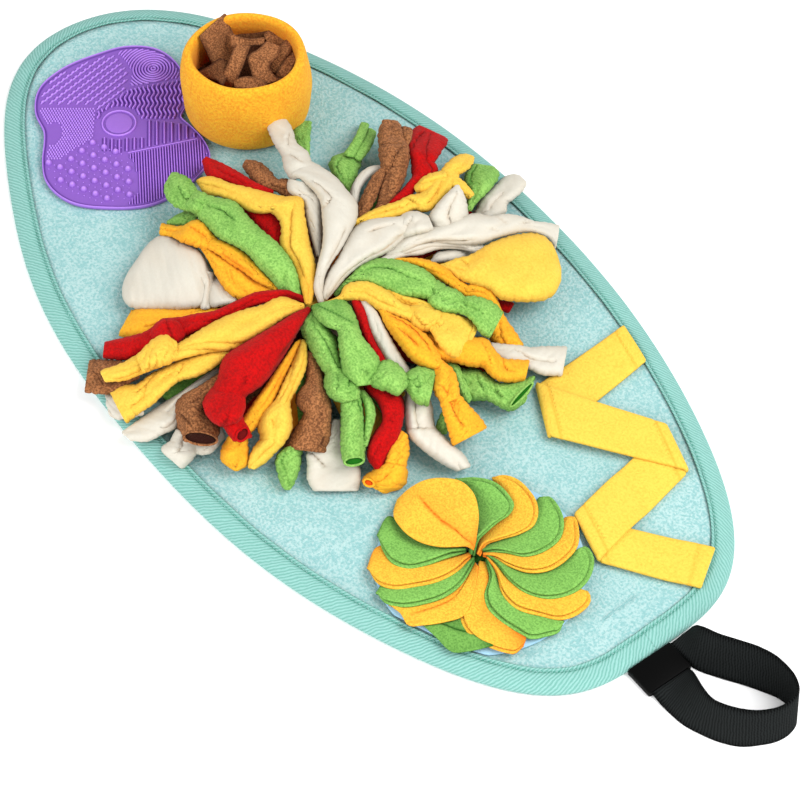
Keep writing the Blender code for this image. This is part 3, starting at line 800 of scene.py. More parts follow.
def runs(mask, least):
    """Slices of the runs of true values."""
    edges = np.flatnonzero(np.diff(np.concatenate(((0,), mask.astype(int), (0,)))))
    return [slice(a, b) for a, b in zip(edges[::2], edges[1::2]) if b - a >= least]


SUNK = 0.4  # how deep the foot of a ridge or a boss is sunk in the pad, mm
SKIRT_RISE = 0.12  # how high the groove round it lies over the pad, mm


def ridge(across, front, half, high, skirt=0.0):
    """A moulded ridge along a path: a half ellipse across it with its foot sunk in the pad, rounded down at
    both ends. A skirt in mm lays a groove on each side in deep painted shade. The tone paints shade from
    the crown down to the foot."""
    path = level(pad_plan(across, front), PAD_FIELD)
    along = unit(np.gradient(path, axis=0))
    side = np.cross(along, (0, 0, 1.0))
    steps = travelled(path)
    near = np.minimum(steps, steps[-1] - steps) / (half * MM)
    ends = np.sqrt(np.clip(1 - (1 - np.clip(near, 0, 1)) ** 2, 0.03, 1))[:, None, None]
    turn = np.radians((0, 32, 62, 90, 118, 148, 180))
    foot = half + skirt
    low = SKIRT_RISE if skirt else 0.0
    out = np.concatenate(((foot,), half * np.cos(turn), (-foot, -foot, foot)))
    rise = np.concatenate(((low,), np.maximum(high * np.sin(turn), low), (low, -SUNK, -SUNK)))
    upward = rise[:, None] * np.array((0, 0, 1.0))
    loops = path[:, None] + ends * (MM * out[:, None] * side[:, None] + MM * upward)
    made = loops_surface(loops)
    # Painted shade: deep in the grooves beside the ridge, lighter towards its crown.
    tone = np.concatenate(((0.85,), 0.8 * (1 - np.sin(turn)) ** 1.2, (0.85, 0.85, 0.85)))
    made["crease"] = np.tile(tone, len(loops) + 2)
    return made


def ridges(across, front, mask, least, **shape):
    """A ridge along each run of at least so many places that the mask keeps."""
    return [ridge(across[part], front[part], **shape) for part in runs(mask, least)]


ROUNDED = ((0.86, 0.55), (0.5, 0.92))  # shares of the radius and of the height, from foot to crown


def bosses(across, front, radius, high, sides, profile=ROUNDED, top=0.0, skirt=0.0):
    """Bosses of one size at many places, as one surface: rings from the foot to the crown of each. A skirt,
    as a share of the radius, lays a groove round each in deep painted shade. The painted shade deepens
    from top to foot."""
    foot = SKIRT_RISE / high if skirt else 0.0
    outer = ((1.0 + skirt, foot),) if skirt else ()
    sunk = -SUNK / high
    rings = np.array(((0.0, sunk), (1.0 + skirt, sunk), *outer, (1.0, foot), *profile, (0.0, 1.0)))
    turn = np.linspace(0, 2 * np.pi, sides, endpoint=False)
    circle = np.column_stack((np.cos(turn), np.sin(turn)))
    one = np.concatenate([level(radius * share * circle, rise * high) for share, rise in rings])
    faces = grid_faces(len(rings), sides, round_columns=True)
    points = level(pad_plan(across, front), PAD_FIELD)[:, None] + MM * one
    count = len(one)
    faces = (faces[None] + count * np.arange(len(points))[:, None, None]).reshape(-1, 4)
    # Painted shade: deep in the groove round each boss, and deeper from the crown down to the foot.
    tone = np.where(rings[:, 0] > 1.0, 0.95, np.clip(top + 0.6 * (1 - rings[:, 1]), 0, 0.8))
    tone = np.repeat(tone, sides)
    return {
        "points": points.reshape(-1, 3), "faces": faces, "lay": points.reshape(-1, 3)[:, :2],
        "crease": np.tile(tone, len(points)),
    }


# Borders of the pad's fields, as lines in mm that a clear distance moves to the front


def arcs_end(across, clear=0.0):
    """Where the rings of ridges end in front."""
    return -36 + clear - 0.265 * (across - 5.2)


def rods_end(across, clear=0.0):
    """Where the rods end in front, left of the ring."""
    return -15 + clear - 1.05 * (across + 16)


def comb_end(across, clear=0.0):
    """Where the comb ends in front, right of the ring."""
    return 29 + clear - 0.276 * (across - 6.7)


def beyond_arcs(across, front):
    """Which places lie right of the curve between the rods and the rings of ridges."""
    return across > np.interp(front, (-69, -63, -55, -47, -37), (-5.2, 0.7, 5.2, 6.7, 5.2))


ARCS_CENTRE = (22.5, -55)


def arcs():
    """Close rings of ridges in the far corner of the pad."""
    made = []
    turn = np.linspace(-0.9 * np.pi, 1.14 * np.pi, 125)
    for radius in np.arange(1.6, 46, 2.25):
        across, front = ARCS_CENTRE[0] + radius * np.sin(turn), ARCS_CENTRE[1] + radius * np.cos(turn)
        mask = on_pad(across, front, 3.0) & beyond_arcs(across, front) & (front < arcs_end(across))
        made += ridges(across, front, mask, 5, half=0.72, high=1.4, skirt=0.35)
    return made


def waves():
    """Wavy ribs behind the ring."""
    made = []
    front = np.linspace(-50, -1, 120)
    for across in np.arange(-16, 56, 3.3):
        bend = across + 0.95 * np.sin(2 * np.pi * front / 11)
        far = np.where(bend > 5.2, arcs_end(bend, 2), rods_end(bend, 3))
        mask = on_pad(bend, front, 3.2) & (np.hypot(bend, front) > 16.5) & (front > far) & (front < -4)
        made += ridges(bend, front, mask, 6, half=0.8, high=2.0, skirt=0.75)
    return made


def comb():
    """Straight ribs that lean a little, short in front of the ring and longer to its right."""
    made = []
    for across in np.arange(-10.5, 62, 5.5):
        far = 14.5 if across < 18 else -3.5 + 0.16 * (across - 20)
        near = comb_end(across) - 1.2 if across > 0 else 28
        front = np.linspace(far, near, 40)
        bend = across + 0.05 * front
        mask = on_pad(bend, front, 3.4) & (np.hypot(bend, front) > 16.0)
        made += ridges(bend, front, mask, 5, half=0.68, high=1.8, skirt=1.2)
    return made


def beyond_cones(across, front):
    """Which places lie right of the curve between the cones and the fine ribs."""
    return across > np.interp(front, (29, 39, 51, 67, 77), (6.5, 12.8, 16.5, 18, 12))


def fine_ribs():
    """Close fine ribs in the near right corner."""
    made = []
    for across in np.arange(4, 68, 2.0):
        front = np.linspace(comb_end(across, 2), 80, 90)
        bend = across + 0.09 * (front - 30)
        mask = on_pad(bend, front, 3.0) & beyond_cones(bend, front)
        made += ridges(bend, front, mask, 4, half=0.52, high=1.5, skirt=0.42)
    return made


def lattice(first, second, start=(0, 0), count=60):
    """Places of a slanted lattice with two steps across and in front, in mm, as two flat arrays."""
    i, j = np.meshgrid(np.arange(-count, count), np.arange(-count, count))
    return (
        start[0] + (i * first[0] + j * second[0]).ravel(), start[1] + (i * first[1] + j * second[1]).ravel())


def hex_end(across):
    """Where the field of small bosses ends in front, in mm."""
    return np.minimum(13 + 0.93 * (-17 - across), 35)


def nub_zone(across, front, margin):
    """Near left part of the pad, where the cones stand."""
    return (
        on_pad(across, front, margin) & ~beyond_cones(across + 3.4, front) & (front > hex_end(across) + 3)
        & (np.hypot(across, front) > 21) & (front > 19))


def cones():
    """Cones in slanted rows, with tiny dots between them."""
    first, second, start = (8.7, 4.4), (7.4, -8.0), (-49.1, 39.0)
    across, front = lattice(first, second, start)
    keep = nub_zone(across, front, 5.5)
    cone = ((0.86, 0.3), (0.58, 0.66), (0.28, 0.92))
    surfaces = [bosses(across[keep], front[keep], radius=2.75, high=3.2, sides=14, profile=cone)]
    for one, other in ((0.5, 0.0), (0.0, 0.5), (0.5, 0.5)):
        place = [start[k] + one * first[k] + other * second[k] for k in range(2)]
        across, front = lattice(first, second, place)
        keep = nub_zone(across, front, 5)
        surfaces.append(bosses(across[keep], front[keep], radius=0.62, high=0.7, sides=7))
    return surfaces


def hexes():
    """A field of small bosses left of the ring, with a bare oval."""
    across, front = lattice((2.1, 0), (1.05, 2.05))
    keep = (
        on_pad(across, front, 4.5) & (across > -62) & (across < -18.5) & (front > -16)
        & (front < hex_end(across)) & (np.hypot(across, front) > 18.5)
        & (np.hypot((across + 47.5) / 6.5, (front - 10) / 11) > 1))
    across, front = across[keep], front[keep]
    return [bosses(across, front, 0.74, 1.3, sides=6, profile=((0.72, 0.9),), top=-0.3, skirt=0.36)]


def rods():
    """Slanted rows of short rods on low ridges in the far left part."""
    heading, normal = np.array((0.67, -0.74)), np.array((0.74, 0.67))
    step, rod = 0.8, 3.3
    made = []
    reach = np.arange(-60, 60, step)
    for row in np.arange(-43, 46, 5.0):
        line = np.array((-30.0, -40.0)) + row * normal + reach[:, None] * heading
        across, front = line.T
        mask = on_pad(across, front, 4.2) & ~beyond_arcs(across + 2.2, front)
        mask &= (front < np.where(across > -18, rods_end(across), -18.5)) & (across < 4)
        for part in runs(mask, 5):
            spine = line[part]
            made.append(ridge(*spine.T, half=0.75, high=0.8, skirt=0.5))
            for start in np.arange(step + (row % 2), step * len(spine) - 3.9, 4.9):
                ends = spine[0] + (start + np.linspace(0, rod, 6))[:, None] * heading
                made.append(ridge(*ends.T, half=1.1, high=1.8))
    return made


class SNUFFLE_OT_lick_pad(bpy.types.Operator):
    """Purple silicone lick pad with its fields of ribs, cones, dots and rods"""

    bl_idname = "snuffle.lick_pad"
    bl_label = "Lick pad"

    def execute(self, context):
        # centre_tone is painted shade over the flat field between the ribs.
        count, centre_tone = 240, 0.62
        turn = np.linspace(0, 360, count, endpoint=False)
        radius = pad_radius(turn)
        direction = np.column_stack((np.cos(np.radians(turn)), np.sin(np.radians(turn))))
        steps = (  # inset from the outline and height over the seat in mm, painted shade (deep at the rim's foot and in the groove inside it)
            (0.7, 0.0, 0.8), (0.15, 0.5, 0.55), (0.0, 1.6, 0.35), (0.05, 2.7, 0.25), (0.3, 3.3, 0.15),
            (0.65, 3.5, 0.12), (1.0, 3.3, 0.2), (1.25, 2.9, 0.5), (1.4, 2.5, 0.95), (2.0, 2.2, 0.95),
            (3.2, 2.2, centre_tone),
        )
        loops = []
        for depth, rise, _ in steps:
            rim = PAD_CENTRE + MM * (radius - depth)[:, None] * direction
            loops.append(level(rim, SEAT + rise * MM))
        for share in (0.75, 0.5, 0.25, 0.02):
            loops.append(level(PAD_CENTRE + MM * share * (radius - 3.2)[:, None] * direction, PAD_FIELD))
        body = loops_surface(np.array(loops))
        tone = [0.4, *(step[2] for step in steps), *[centre_tone] * 5]
        body["crease"] = np.repeat(tone, count)
        circle = np.linspace(-np.pi, np.pi, 73)
        surfaces = [body, *arcs(), *waves(), *comb(), *fine_ribs(), *cones(), *hexes(), *rods()]
        ring = np.linspace(0, 2 * np.pi, 12, endpoint=False)
        turns = np.column_stack((np.cos(circle[:-1]), np.sin(circle[:-1])))
        wheel = []
        for turn in ring:
            round_it = pad_plan(*((12.3 + 0.75 * math.cos(turn)) * turns.T))
            wheel.append(level(round_it, PAD_FIELD + 1.3 * MM * math.sin(turn)))
        wheel = surface(np.array(wheel), grid_faces(12, 72, round_rows=True, round_columns=True))
        # Painted shade on the wheel's lower half.
        wheel["crease"] = np.repeat(0.35 * (1 - np.sin(ring)), 72)
        nought = np.zeros(1)
        disc = ((0.97, 0.8), (0.93, 1.0), (0.5, 1.0))
        surfaces += [wheel, bosses(nought, nought, 10.2, 0.6, sides=72, profile=disc, top=0.42)]
        border = np.linspace(*PAD_BORDER, 60).T
        surfaces += ridges(*border, on_pad(*border, 3.8), 5, half=0.5, high=0.9)
        piece("lick_pad_silicone", surfaces, silicone(), ("lick_pad",))
        return {"FINISHED"}


# Cup and its strips

CUP_CENTRE = np.array((-0.201, 0.060))
CUP_LEAN = np.array((0.0036, -0.0004)) - 0.0015 * ACROSS - 0.001 * FRONT
CUP_HEIGHT = 65.5 * MM
CUP_PROFILE = (  # share of the way, height share, radius in mm, painted shade (deep at the foot and down inside the cup)
    (0.0, 0.0, 38.6, 0.5), (0.05, 0.05, 42.6, 0.15), (0.25, 0.35, 46.8, 0.0), (0.42, 0.6, 46.8, 0.0),
    (0.56, 0.84, 44.6, 0.0), (0.64, 0.94, 42.9, 0.0), (0.68, 0.982, 41.4, 0.0), (0.71, 1.0, 39.6, 0.0),
    (0.735, 0.99, 37.8, 0.05), (0.76, 0.955, 36.6, 0.15), (0.82, 0.84, 36.4, 0.4), (0.9, 0.6, 37.2, 0.8),
    (0.96, 0.35, 38.0, 0.95), (1.0, 0.118, 36.8, 1.0),
)
CUP_STRIPS = (  # solid's name, stations: frame x, y and height in mm of one edge, then of the other
    ("back", ((235.1,37,50,235.8,27.1,60), (243.8,37.8,50,243.8,23.6,60), (255,38.6,50,255.8,24.3,60),
        (265.4,39.1,50,267.4,29.5,60))),
    ("back_right", ((265.4,34.3,60,270.2,47.9,54), (274.1,29.4,60,277.7,46.6,54),
        (282.9,32.7,60,282.1,47.9,54), (289.8,38.6,60,284,47.9,54))),
    ("wide", ((266.6,42.8,62,279.9,47.9,62), (259.8,49.8,62,276.2,56.2,62), (248.3,57.8,60,269.4,63.5,60),
        (251.5,68.6,57,269.4,70.2,57), (254.2,76.6,55,274.5,76.9,55), (264.6,83.3,53,282.1,79,53))),
    ("slant", ((236.2,46.9,63,248.9,46.6,63), (233.1,54.3,63,245.7,54.6,63), (227.9,67,60,240.3,68.9,60),
        (222.8,76.6,55,235.2,80.6,55), (222.8,83,47,233.5,87,47))),
    ("curl", ((231.4,34.1,64,233,46.6,61), (239,38,64,237.8,47.9,61), (250.2,39.9,64,248.9,44.7,61),
        (263,38.8,64,262.3,43.7,61))),
    ("narrow", ((288.2,39.6,61,293.9,41.8,61), (278.9,49.1,60,288.8,53,60), (271,59.8,56,282.4,61,56),
        (271.3,70.2,50,276.7,72.6,50))),
    ("side", ((293.6,51.4,58,295.8,55.8,58), (285,61.9,56,294.2,64.1,56), (277.7,73.4,52,288.8,75.3,52),
        (275.4,78.5,48,283.7,80.6,48))),
    ("front", ((235.1,80.3,55,236.2,87.4,52), (248.6,77.9,55,248.9,89,52), (259.8,80.3,55,260.1,88.1,52),
        (265.7,83.8,55,264.1,87.3,52))),
    ("wedge", ((199.5,72.6,50,206.3,76.9,50), (211.1,66.2,55,217,80.6,55), (220.7,60,56,223.4,83.8,56),
        (227.9,62.5,54,228.7,70.2,54))),
    ("flap", ((225.5,76.6,46,235.1,60.6,46), (211.9,60.6,54,232.7,37,54), (206.3,48.2,64,228.7,26.3,64),
        (200.7,37,73,224.7,15.2,73))),
)
CUP_FILLING = (  # strips deeper in the cup: frame x, y and height in mm of one edge, then of the other
    (198, 72, 42, 240, 40, 46), (222, 82, 42, 262, 38, 46),
    (250, 86, 42, 284, 50, 46), (276, 82, 42, 292, 58, 46),
)


def slab(table, thick, shade=0.0, rows=30, columns=17):
    """A flat strip of fleece between two edges given by frame place and height, its upper side turned up."""
    table = np.array(table, float)
    low = at_frame(table[:, 0], table[:, 1], table[:, 2] * MM)
    high = at_frame(table[:, 3], table[:, 4], table[:, 5] * MM)
    run = eased(np.column_stack((low, high)), rows)
    share = np.linspace(0, 1, columns)[:, None]
    middle = (1 - share) * run[:, None, :3] + share * run[:, None, 3:]
    rise = 0.5 * MM * np.sin(np.linspace(0, 9, rows))[:, None] * np.sin(np.pi * share[:, 0])[None, :]
    middle = middle + rise[..., None] * np.array((0, 0, 1.0))
    if np.cross(middle[-1, 4] - middle[0, 4], middle[rows // 2, -1] - middle[rows // 2, 0])[2] < 0:
        middle = middle[:, ::-1]
    # Painted shade: the strip's own share, and more along both of its edges.
    rim = np.clip(np.abs(np.linspace(-1, 1, columns)) * 4 - 3, 0, 1)
    return thick_sheet(middle, thick, np.broadcast_to(shade + 0.45 * rim, middle.shape[:2]), under=0.6)


class SNUFFLE_OT_cup(bpy.types.Operator):
    """Fleece cup with a soft rolled rim, with painted shade inside"""

    bl_idname = "snuffle.cup"
    bl_label = "Cup"

    def execute(self, context):
        count = 96
        way, height, radii, tone = np.array(CUP_PROFILE).T
        run = eased(np.column_stack((radii * MM, height * CUP_HEIGHT, 0 * way, tone)), 72)
        turn = np.linspace(0, 2 * np.pi, count, endpoint=False)
        share = run[:, 1] / CUP_HEIGHT
        wobble = 1 + (0.012 + 0.03 * share[:, None] ** 2) * np.cos(2 * turn - 1.85) + 0.008 * np.cos(3 * turn)
        dent = 0.7 * MM * np.sin(share[:, None] * 7 + 2 * turn) * np.sin(3 * turn + 1)
        radius = run[:, :1] * wobble + dent * np.clip(share[:, None] * 3, 0, 1)
        middle = CUP_CENTRE + share[:, None] * CUP_LEAN
        plan = middle[:, None] + radius[..., None] * np.column_stack((np.cos(turn), np.sin(turn)))
        body = loops_surface(level(plan, SEAT + run[:, 1:2]))
        # Painted shade at the foot and down inside the cup, from the profile's last column.
        body["crease"] = np.repeat(np.concatenate(((0.3,), np.clip(run[:, 3], 0, 1), (1.0,))), count)
        finish = fleece("cup_fleece", "amber", 560.0, 1.3, sheen=0.5)
        made = piece("cup_cloth", [body], finish, ("cup",))
        return {"FINISHED"}


class SNUFFLE_OT_cup_strips(bpy.types.Operator):
    """Short strips of fleece that stand in the cup"""

    bl_idname = "snuffle.cup_strips"
    bl_label = "Cup strips"

    def execute(self, context):
        thick = settings().fleece
        surfaces, names = [], []
        for name, table in CUP_STRIPS:
            # Painted shade over the back and wedge strips.
            surfaces.append(slab(table, 0.8 * thick, 0.4 if name in ("back", "wedge") else 0.0))
            names.append("cup_strip_" + name)
        # The filling deeper in the cup is painted deep in shade.
        surfaces.append(slab(CUP_FILLING, thick, 0.8))
        finish = fleece("rough_brown", "brown", 820.0, 1.8, 1.6 * MM, 0.9, 0.62)
        made = piece("cup_strips_cloth", surfaces, finish, names)
        return {"FINISHED"}


# Zigzag ribbon

CREASES = (  # left and right end of each fold, mm
    ((127, 149), (158, 142)), ((131, 69), (169, 49)), ((211, 117), (247, 105)),
    ((231, 22), (267, 12)), ((306, 77), (323, 51)),
)
RIBBON = 3 * MM
FOLD_RADIUS = 1.65 * MM
LOW, HIGH, ON_TAPE = 9.3 * MM, 12.6 * MM, 10.9 * MM  # middle of a leg on the panel, on a leg, on the tape


class SNUFFLE_OT_zigzag_ribbon(bpy.types.Operator):
    """Yellow fleece ribbon folded flat to and fro, stitched near its folds"""

    bl_idname = "snuffle.zigzag_ribbon"
    bl_label = "Zigzag ribbon"

    def execute(self, context):
        ends = np.array(CREASES) * MM
        across = np.linspace(0, 1, 15)
        legs = (  # heights along each leg, as (share, height)
            ((0.0, ON_TAPE), (0.22, LOW), (1.0, LOW)),
            ((0.0, HIGH), (1.0, HIGH)),
            ((0.0, LOW), (0.46, LOW), (0.62, HIGH), (1.0, HIGH)),
            ((0.0, LOW), (0.72, LOW), (0.9, ON_TAPE), (1.0, ON_TAPE)),
        )
        rows, tones, stitch_rows = [], [], []
        seam = 8 * MM  # from each fold to its row of stitches
        for i, heights in enumerate(legs):
            share = np.linspace(0.0 if i == 0 else 0.02, 1.0 if i == 3 else 0.98, 46)
            plan = (1 - share)[:, None, None] * ends[i] + share[:, None, None] * ends[i + 1]
            grid = (1 - across)[:, None] * plan[:, None, 0] + across[:, None] * plan[:, None, 1]
            table = np.array(heights)
            high = np.interp(share, table[:, 0], table[:, 1])
            high = np.convolve(np.pad(high, 3, mode="edge"), np.ones(7) / 7, mode="valid")
            reach = np.linalg.norm(ends[i + 1].mean(axis=0) - ends[i].mean(axis=0))
            from_start, from_end = share * reach, (1 - share) * reach
            puff = np.sin(np.pi * across)[None, :] * 0.5 * MM
            groove = np.exp(-((from_start - seam) / MM) ** 2) + np.exp(-((from_end - seam) / MM) ** 2)
            dip = 0.15 * MM * np.sin(share * 9) - 0.45 * MM * groove
            grid = level(grid, high[:, None] + puff + dip[:, None])
            rows.append(grid)
            # Painted shade in the groove along each row of stitches.
            tones.append(np.broadcast_to(0.35 * groove[:, None], grid.shape[:2]))
            for near in (seam / reach, 1 - seam / reach):
                row = int(round((len(share) - 1) * near))
                stitch_rows.append(grid[row, 1:-1] + (0, 0, RIBBON / 2))
            if i == 3:
                break
            start = grid[-1]
            outward = unit(grid[-1] - grid[-5]) * (1, 1, 0)
            next_low = legs[i + 1][0][1]
            middle = 0.5 * (start[:, 2] + next_low)
            half = 0.5 * (next_low - start[:, 2])
            for turn in np.radians((25, 55, 90, 125, 155)):
                bend = start + outward * FOLD_RADIUS * np.sin(turn)
                bend[:, 2] = middle - half * np.cos(turn)
                rows.append(bend[None])
                tones.append(np.zeros((1, len(across))))
        middle = np.concatenate(rows)
        tone = np.concatenate(tones)
        body = thick_sheet(middle, RIBBON, tone, under=0.0)
        surfaces = [body]
        for line in stitch_rows:
            surfaces += stitches(line[:, :2], line[:, 2])
        finish = fleece("yellow_fleece", "yellow")
        made = piece("zigzag_cloth", surfaces, finish, ("zigzag_ribbon",))
        return {"FINISHED"}


# Flower

FLOWER_CENTRE = np.array((0.223, -0.052))
FLOWER_RADIUS = 0.070
PETALS = (  # dye, heights of the raised and the tucked edge in mm, how far the second layer shows, then
    # the raised and the tucked edge as x,y in the frame, from tip to middle
    ("orange", 14.0, 10.4, 0.0, (390,605, 400,612, 408,624, 425,624, 445,621, 463,615, 474,590, 478,567),
        (390,605, 404,600, 420,594, 436,590, 450,584, 460,578, 468,570, 474,563)),
    ("green", 15.0, 10.4, 4.5, (377,593, 385,602, 400,606, 425,603, 445,596, 460,585, 470,570, 474,562),
        (377,593, 386,580, 402,576, 425,574, 444,570, 458,564, 466,560, 473,556)),
    ("orange", 15.5, 10.4, 4.5, (368,568, 378,583, 392,588, 415,586, 440,580, 458,570, 470,558),
        (368,568, 377,548, 392,546, 415,552, 440,556, 456,555, 470,552)),
    ("green", 16.0, 10.4, 5.0, (378,535, 383,550, 392,562, 408,568, 425,565, 445,558, 465,552),
        (378,535, 389,517, 402,524, 414,532, 430,538, 448,544, 465,547)),
    ("orange", 13.5, 12.0, 4.0, (480,562, 467,590, 461,606, 463,624, 473,637, 491,647, 507,652, 514,653,
        523,646),
        (489,564, 488,580, 487,598, 492,612, 502,622, 510,629, 516,633, 520,635, 525,638)),
    ("green", 14.0, 10.4, 5.0, (563,622, 560,630, 545,636, 530,638, 515,630, 500,620, 487,605, 485,595,
        490,578, 486,560),
        (563,622, 557,615, 545,608, 533,606, 522,600, 513,594, 505,587, 500,580, 496,570, 488,558)),
    ("orange", 14.5, 10.4, 5.0, (577,592, 588,592, 590,600, 580,612, 562,619, 540,615, 515,607, 502,592,
        498,575, 487,559),
        (577,592, 572,588, 566,584, 556,586, 544,588, 530,584, 516,578, 506,572, 498,566, 488,556)),
    ("green", 15.0, 10.4, 5.0, (575,552, 585,547, 592,555, 590,575, 580,588, 560,597, 545,598, 525,592,
        510,580, 500,568, 487,557),
        (575,552, 574,552, 572,556, 566,560, 558,565, 548,568, 536,570, 522,568, 510,563, 500,558, 487,553)),
    ("orange", 15.5, 10.4, 5.0, (566,518, 573,517, 578,530, 577,545, 565,560, 548,570, 530,572, 508,565,
        495,558, 484,556),
        (566,518, 564,520, 560,524, 554,530, 546,537, 536,543, 522,546, 508,548, 496,550, 484,552)),
    ("green", 16.0, 10.4, 5.0, (540,498, 548,497, 558,507, 563,522, 560,537, 545,550, 525,556, 505,552,
        484,552),
        (540,498, 538,500, 534,506, 528,514, 520,522, 510,530, 500,537, 492,542, 483,548)),
    ("orange", 16.5, 10.4, 5.0, (493,478, 500,476, 515,479, 528,490, 536,503, 537,515, 533,525, 520,533,
        500,539, 485,545, 480,555),
        (493,478, 494,480, 497,484, 499,490, 500,498, 499,506, 495,515, 490,524, 485,532, 480,540, 476,552)),
    ("green", 18.0, 10.4, 5.0, (456,479, 475,478, 495,483, 507,494, 513,505, 508,515, 500,520, 488,530,
        478,540, 474,555),
        (456,479, 460,483, 465,489, 469,496, 471,504, 471,512, 470,520, 468,529, 468,540, 469,552)),
)
POCKET = (  # hollow petal at the near edge: outer edge and inner edge from left to right
    (420,621, 436,636, 453,651, 470,650, 492,645),
    (424,618, 440,611, 459,609, 472,618, 486,630),
)
LEAF = (  # opened petal on top: front edge and back edge from tip to middle
    (396,506, 394,514, 402,528, 418,540, 440,546, 458,546, 468,546, 473,549),
    (398,500, 410,489, 425,481, 445,479, 462,483, 473,494, 478,512, 476,540),
)
LEAF_CREASE = (  # share of the length, share from the back edge to the front
    (0.0, 0.1), (0.22, 0.28), (0.36, 0.48), (0.45, 0.56), (0.55, 0.63), (0.73, 0.66), (0.82, 0.7),
    (0.91, 0.77), (1.0, 0.8))
PETAL_ROOT = 11.0  # height at the root, mm
FLOWER_MIDDLE = (480, 557)  # frame place where the petals meet


def felt_layer(raised, tucked, raised_high, tucked_high, second=0.0, below=False, fold=None, shade=0.0):
    """A layer of felt between a raised edge and a tucked one. Where a petal has a second layer, the upper
    one draws its raised edge back by some frame units, and the one below it is set down and painted in
    shade where it is covered. fold gives the share across at which a crease lies, for shares of the length.
    The tone paints shade towards the middle of the flower, towards the tucked edge and in the crease."""
    rows, columns = 34, 33 if fold else 17
    one, two = (eased(np.reshape(edge, (-1, 2)), rows) for edge in (raised, tucked))
    gap = np.linalg.norm(one - two, axis=1)
    back = np.minimum(second * np.clip(np.linspace(0, 8, rows), 0, 1), 0.45 * gap)
    if not below:
        one = one - back[:, None] * unit(one - two)
    share = np.linspace(0, 1, columns)[None, :]
    along = np.linspace(0, 1, rows)[:, None]
    tip = np.clip(along / 0.25, 0, 1) ** 0.7
    high_one, high_two = (
        PETAL_ROOT + (high - PETAL_ROOT) * tip + 1.5 * along**3 for high in (raised_high, tucked_high))
    places = (1 - share)[..., None] * two[:, None] + share[..., None] * one[:, None]
    high = (1 - share) * high_two + share * (high_one + 0.8) + 0.3 * np.sin(np.pi * share)
    # Painted shade towards the flower's middle.
    tone = shade + 0.6 * np.clip((along - 0.75) / 0.25, 0, 1) ** 2 + 0 * share
    if below:
        high = high - 2.0
        # Painted shade where the upper layer covers this one.
        cover = 1 - (back / np.maximum(gap, 1e-9))[:, None]
        tone = tone + 0.95 * np.clip((cover + 0.05 - share) / 0.05, 0, 1)
    if fold:
        table = np.array(fold)
        at = np.interp(along, table[:, 0], table[:, 1])
        open_tip = np.clip((along - 0.2) / 0.12, 0, 1)
        line = np.exp(-(((share - at) / 0.028) ** 2)) * open_tip
        wide = np.clip(1 - (at - share) / 0.3, 0, 1) * (share < at) * open_tip
        # Painted shade in the crease and on the side before it.
        high, tone = high - 1.3 * line - 0.8 * wide * at, tone + 0.75 * line + 0.28 * wide
    else:
        # Painted shade towards the tucked edge.
        tone = tone + 0.5 * (1 - share) ** 3
    middle = at_frame(places[..., 0], places[..., 1], high * MM)
    tone = np.broadcast_to(np.clip(tone, 0, 1), middle.shape[:2])
    middle_column = columns // 2
    across = middle[12, middle_column + 3] - middle[12, middle_column - 3]
    if np.cross(middle[15, middle_column] - middle[10, middle_column], across)[2] < 0:
        middle, tone = middle[:, ::-1], tone[:, ::-1]
    return thick_sheet(middle, settings().felt, tone, under=0.35)


class SNUFFLE_OT_flower(bpy.types.Operator):
    """Pinwheel of doubled felt petals on a light blue felt disc"""

    bl_idname = "snuffle.flower"
    bl_label = "Flower"

    def execute(self, context):
        tape_edge = inset(mat_outline(384), TAPE_WIDTH) - FLOWER_CENTRE
        bearing = np.degrees(np.arctan2(tape_edge[:, 1], tape_edge[:, 0]))
        turn = np.linspace(0, 360, 160, endpoint=False)
        room = np.interp(turn, bearing, np.hypot(*tape_edge.T), period=360)
        radius = np.minimum(FLOWER_RADIUS, room - 1 * MM) + 0.5 * MM * np.sin(np.radians(5 * turn)) - 0.5 * MM
        around = np.column_stack((np.cos(np.radians(turn)), np.sin(np.radians(turn)))) * radius[:, None]
        steps = ((-0.5, 0.0), (-0.1, 0.2), (0.0, 0.8), (-0.15, 1.35), (-0.6, 1.6), (-8, 1.6), (-30, 1.6))
        loops = []
        for out, high in steps:
            loops.append(level(FLOWER_CENTRE + around * (1 + MM * out / FLOWER_RADIUS), SEAT + high * MM))
        disc = loops_surface(np.array(loops))
        felt = fleece("blue_felt", "blue", 900.0, 0.6, 0.5 * MM, 0.5, 0.3)
        made = piece("disc_felt", [disc], felt, ("flower_base",))
        layers = {"orange": [], "green": []}
        hollow = ((0.0, 0.75), (0.5, 0.5), (1.0, 0.25))
        pocket_fold = ((0.0, 0.5), (1.0, 0.5))
        # The hollow pocket petal carries painted shade all over.
        layers["green"].append(felt_layer(*POCKET, 12.0, 11.0, fold=pocket_fold, shade=0.25))
        for name, high_one, high_two, second, raised, tucked in PETALS:
            petal = (raised, tucked, high_one, high_two, second)
            if second:
                layers[name].append(felt_layer(*petal, below=True))
            layers[name].append(felt_layer(*petal, fold=None if second else hollow))
        layers["orange"].append(felt_layer(*LEAF, 18.5, 20.5, fold=LEAF_CREASE))
        heart = lump(at_frame(*FLOWER_MIDDLE, 9 * MM), MM * np.array(((0, 0, 3.5), (6, 0, 0), (0, 6, 0))))
        # The heart is painted deep in shade, where the petals meet.
        heart["crease"] = np.full(len(heart["points"]), 0.9)
        layers["green"].append(heart)
        odd = [f"petal_{number:02d}" for number in range(1, 16, 2)] + ["petal_leaf"]
        even = [f"petal_{number:02d}" for number in range(2, 15, 2)]
        for name, nodes, slot in (("orange", odd, "orange_felt"), ("green", even, "green_felt")):
            finish = fleece(name + "_felt", name + "_felt", 760.0, 1.35, 0.9 * MM, 0.8, 0.4)
            made = piece(f"petals_{name}", layers[name], finish, nodes)
        return {"FINISHED"}


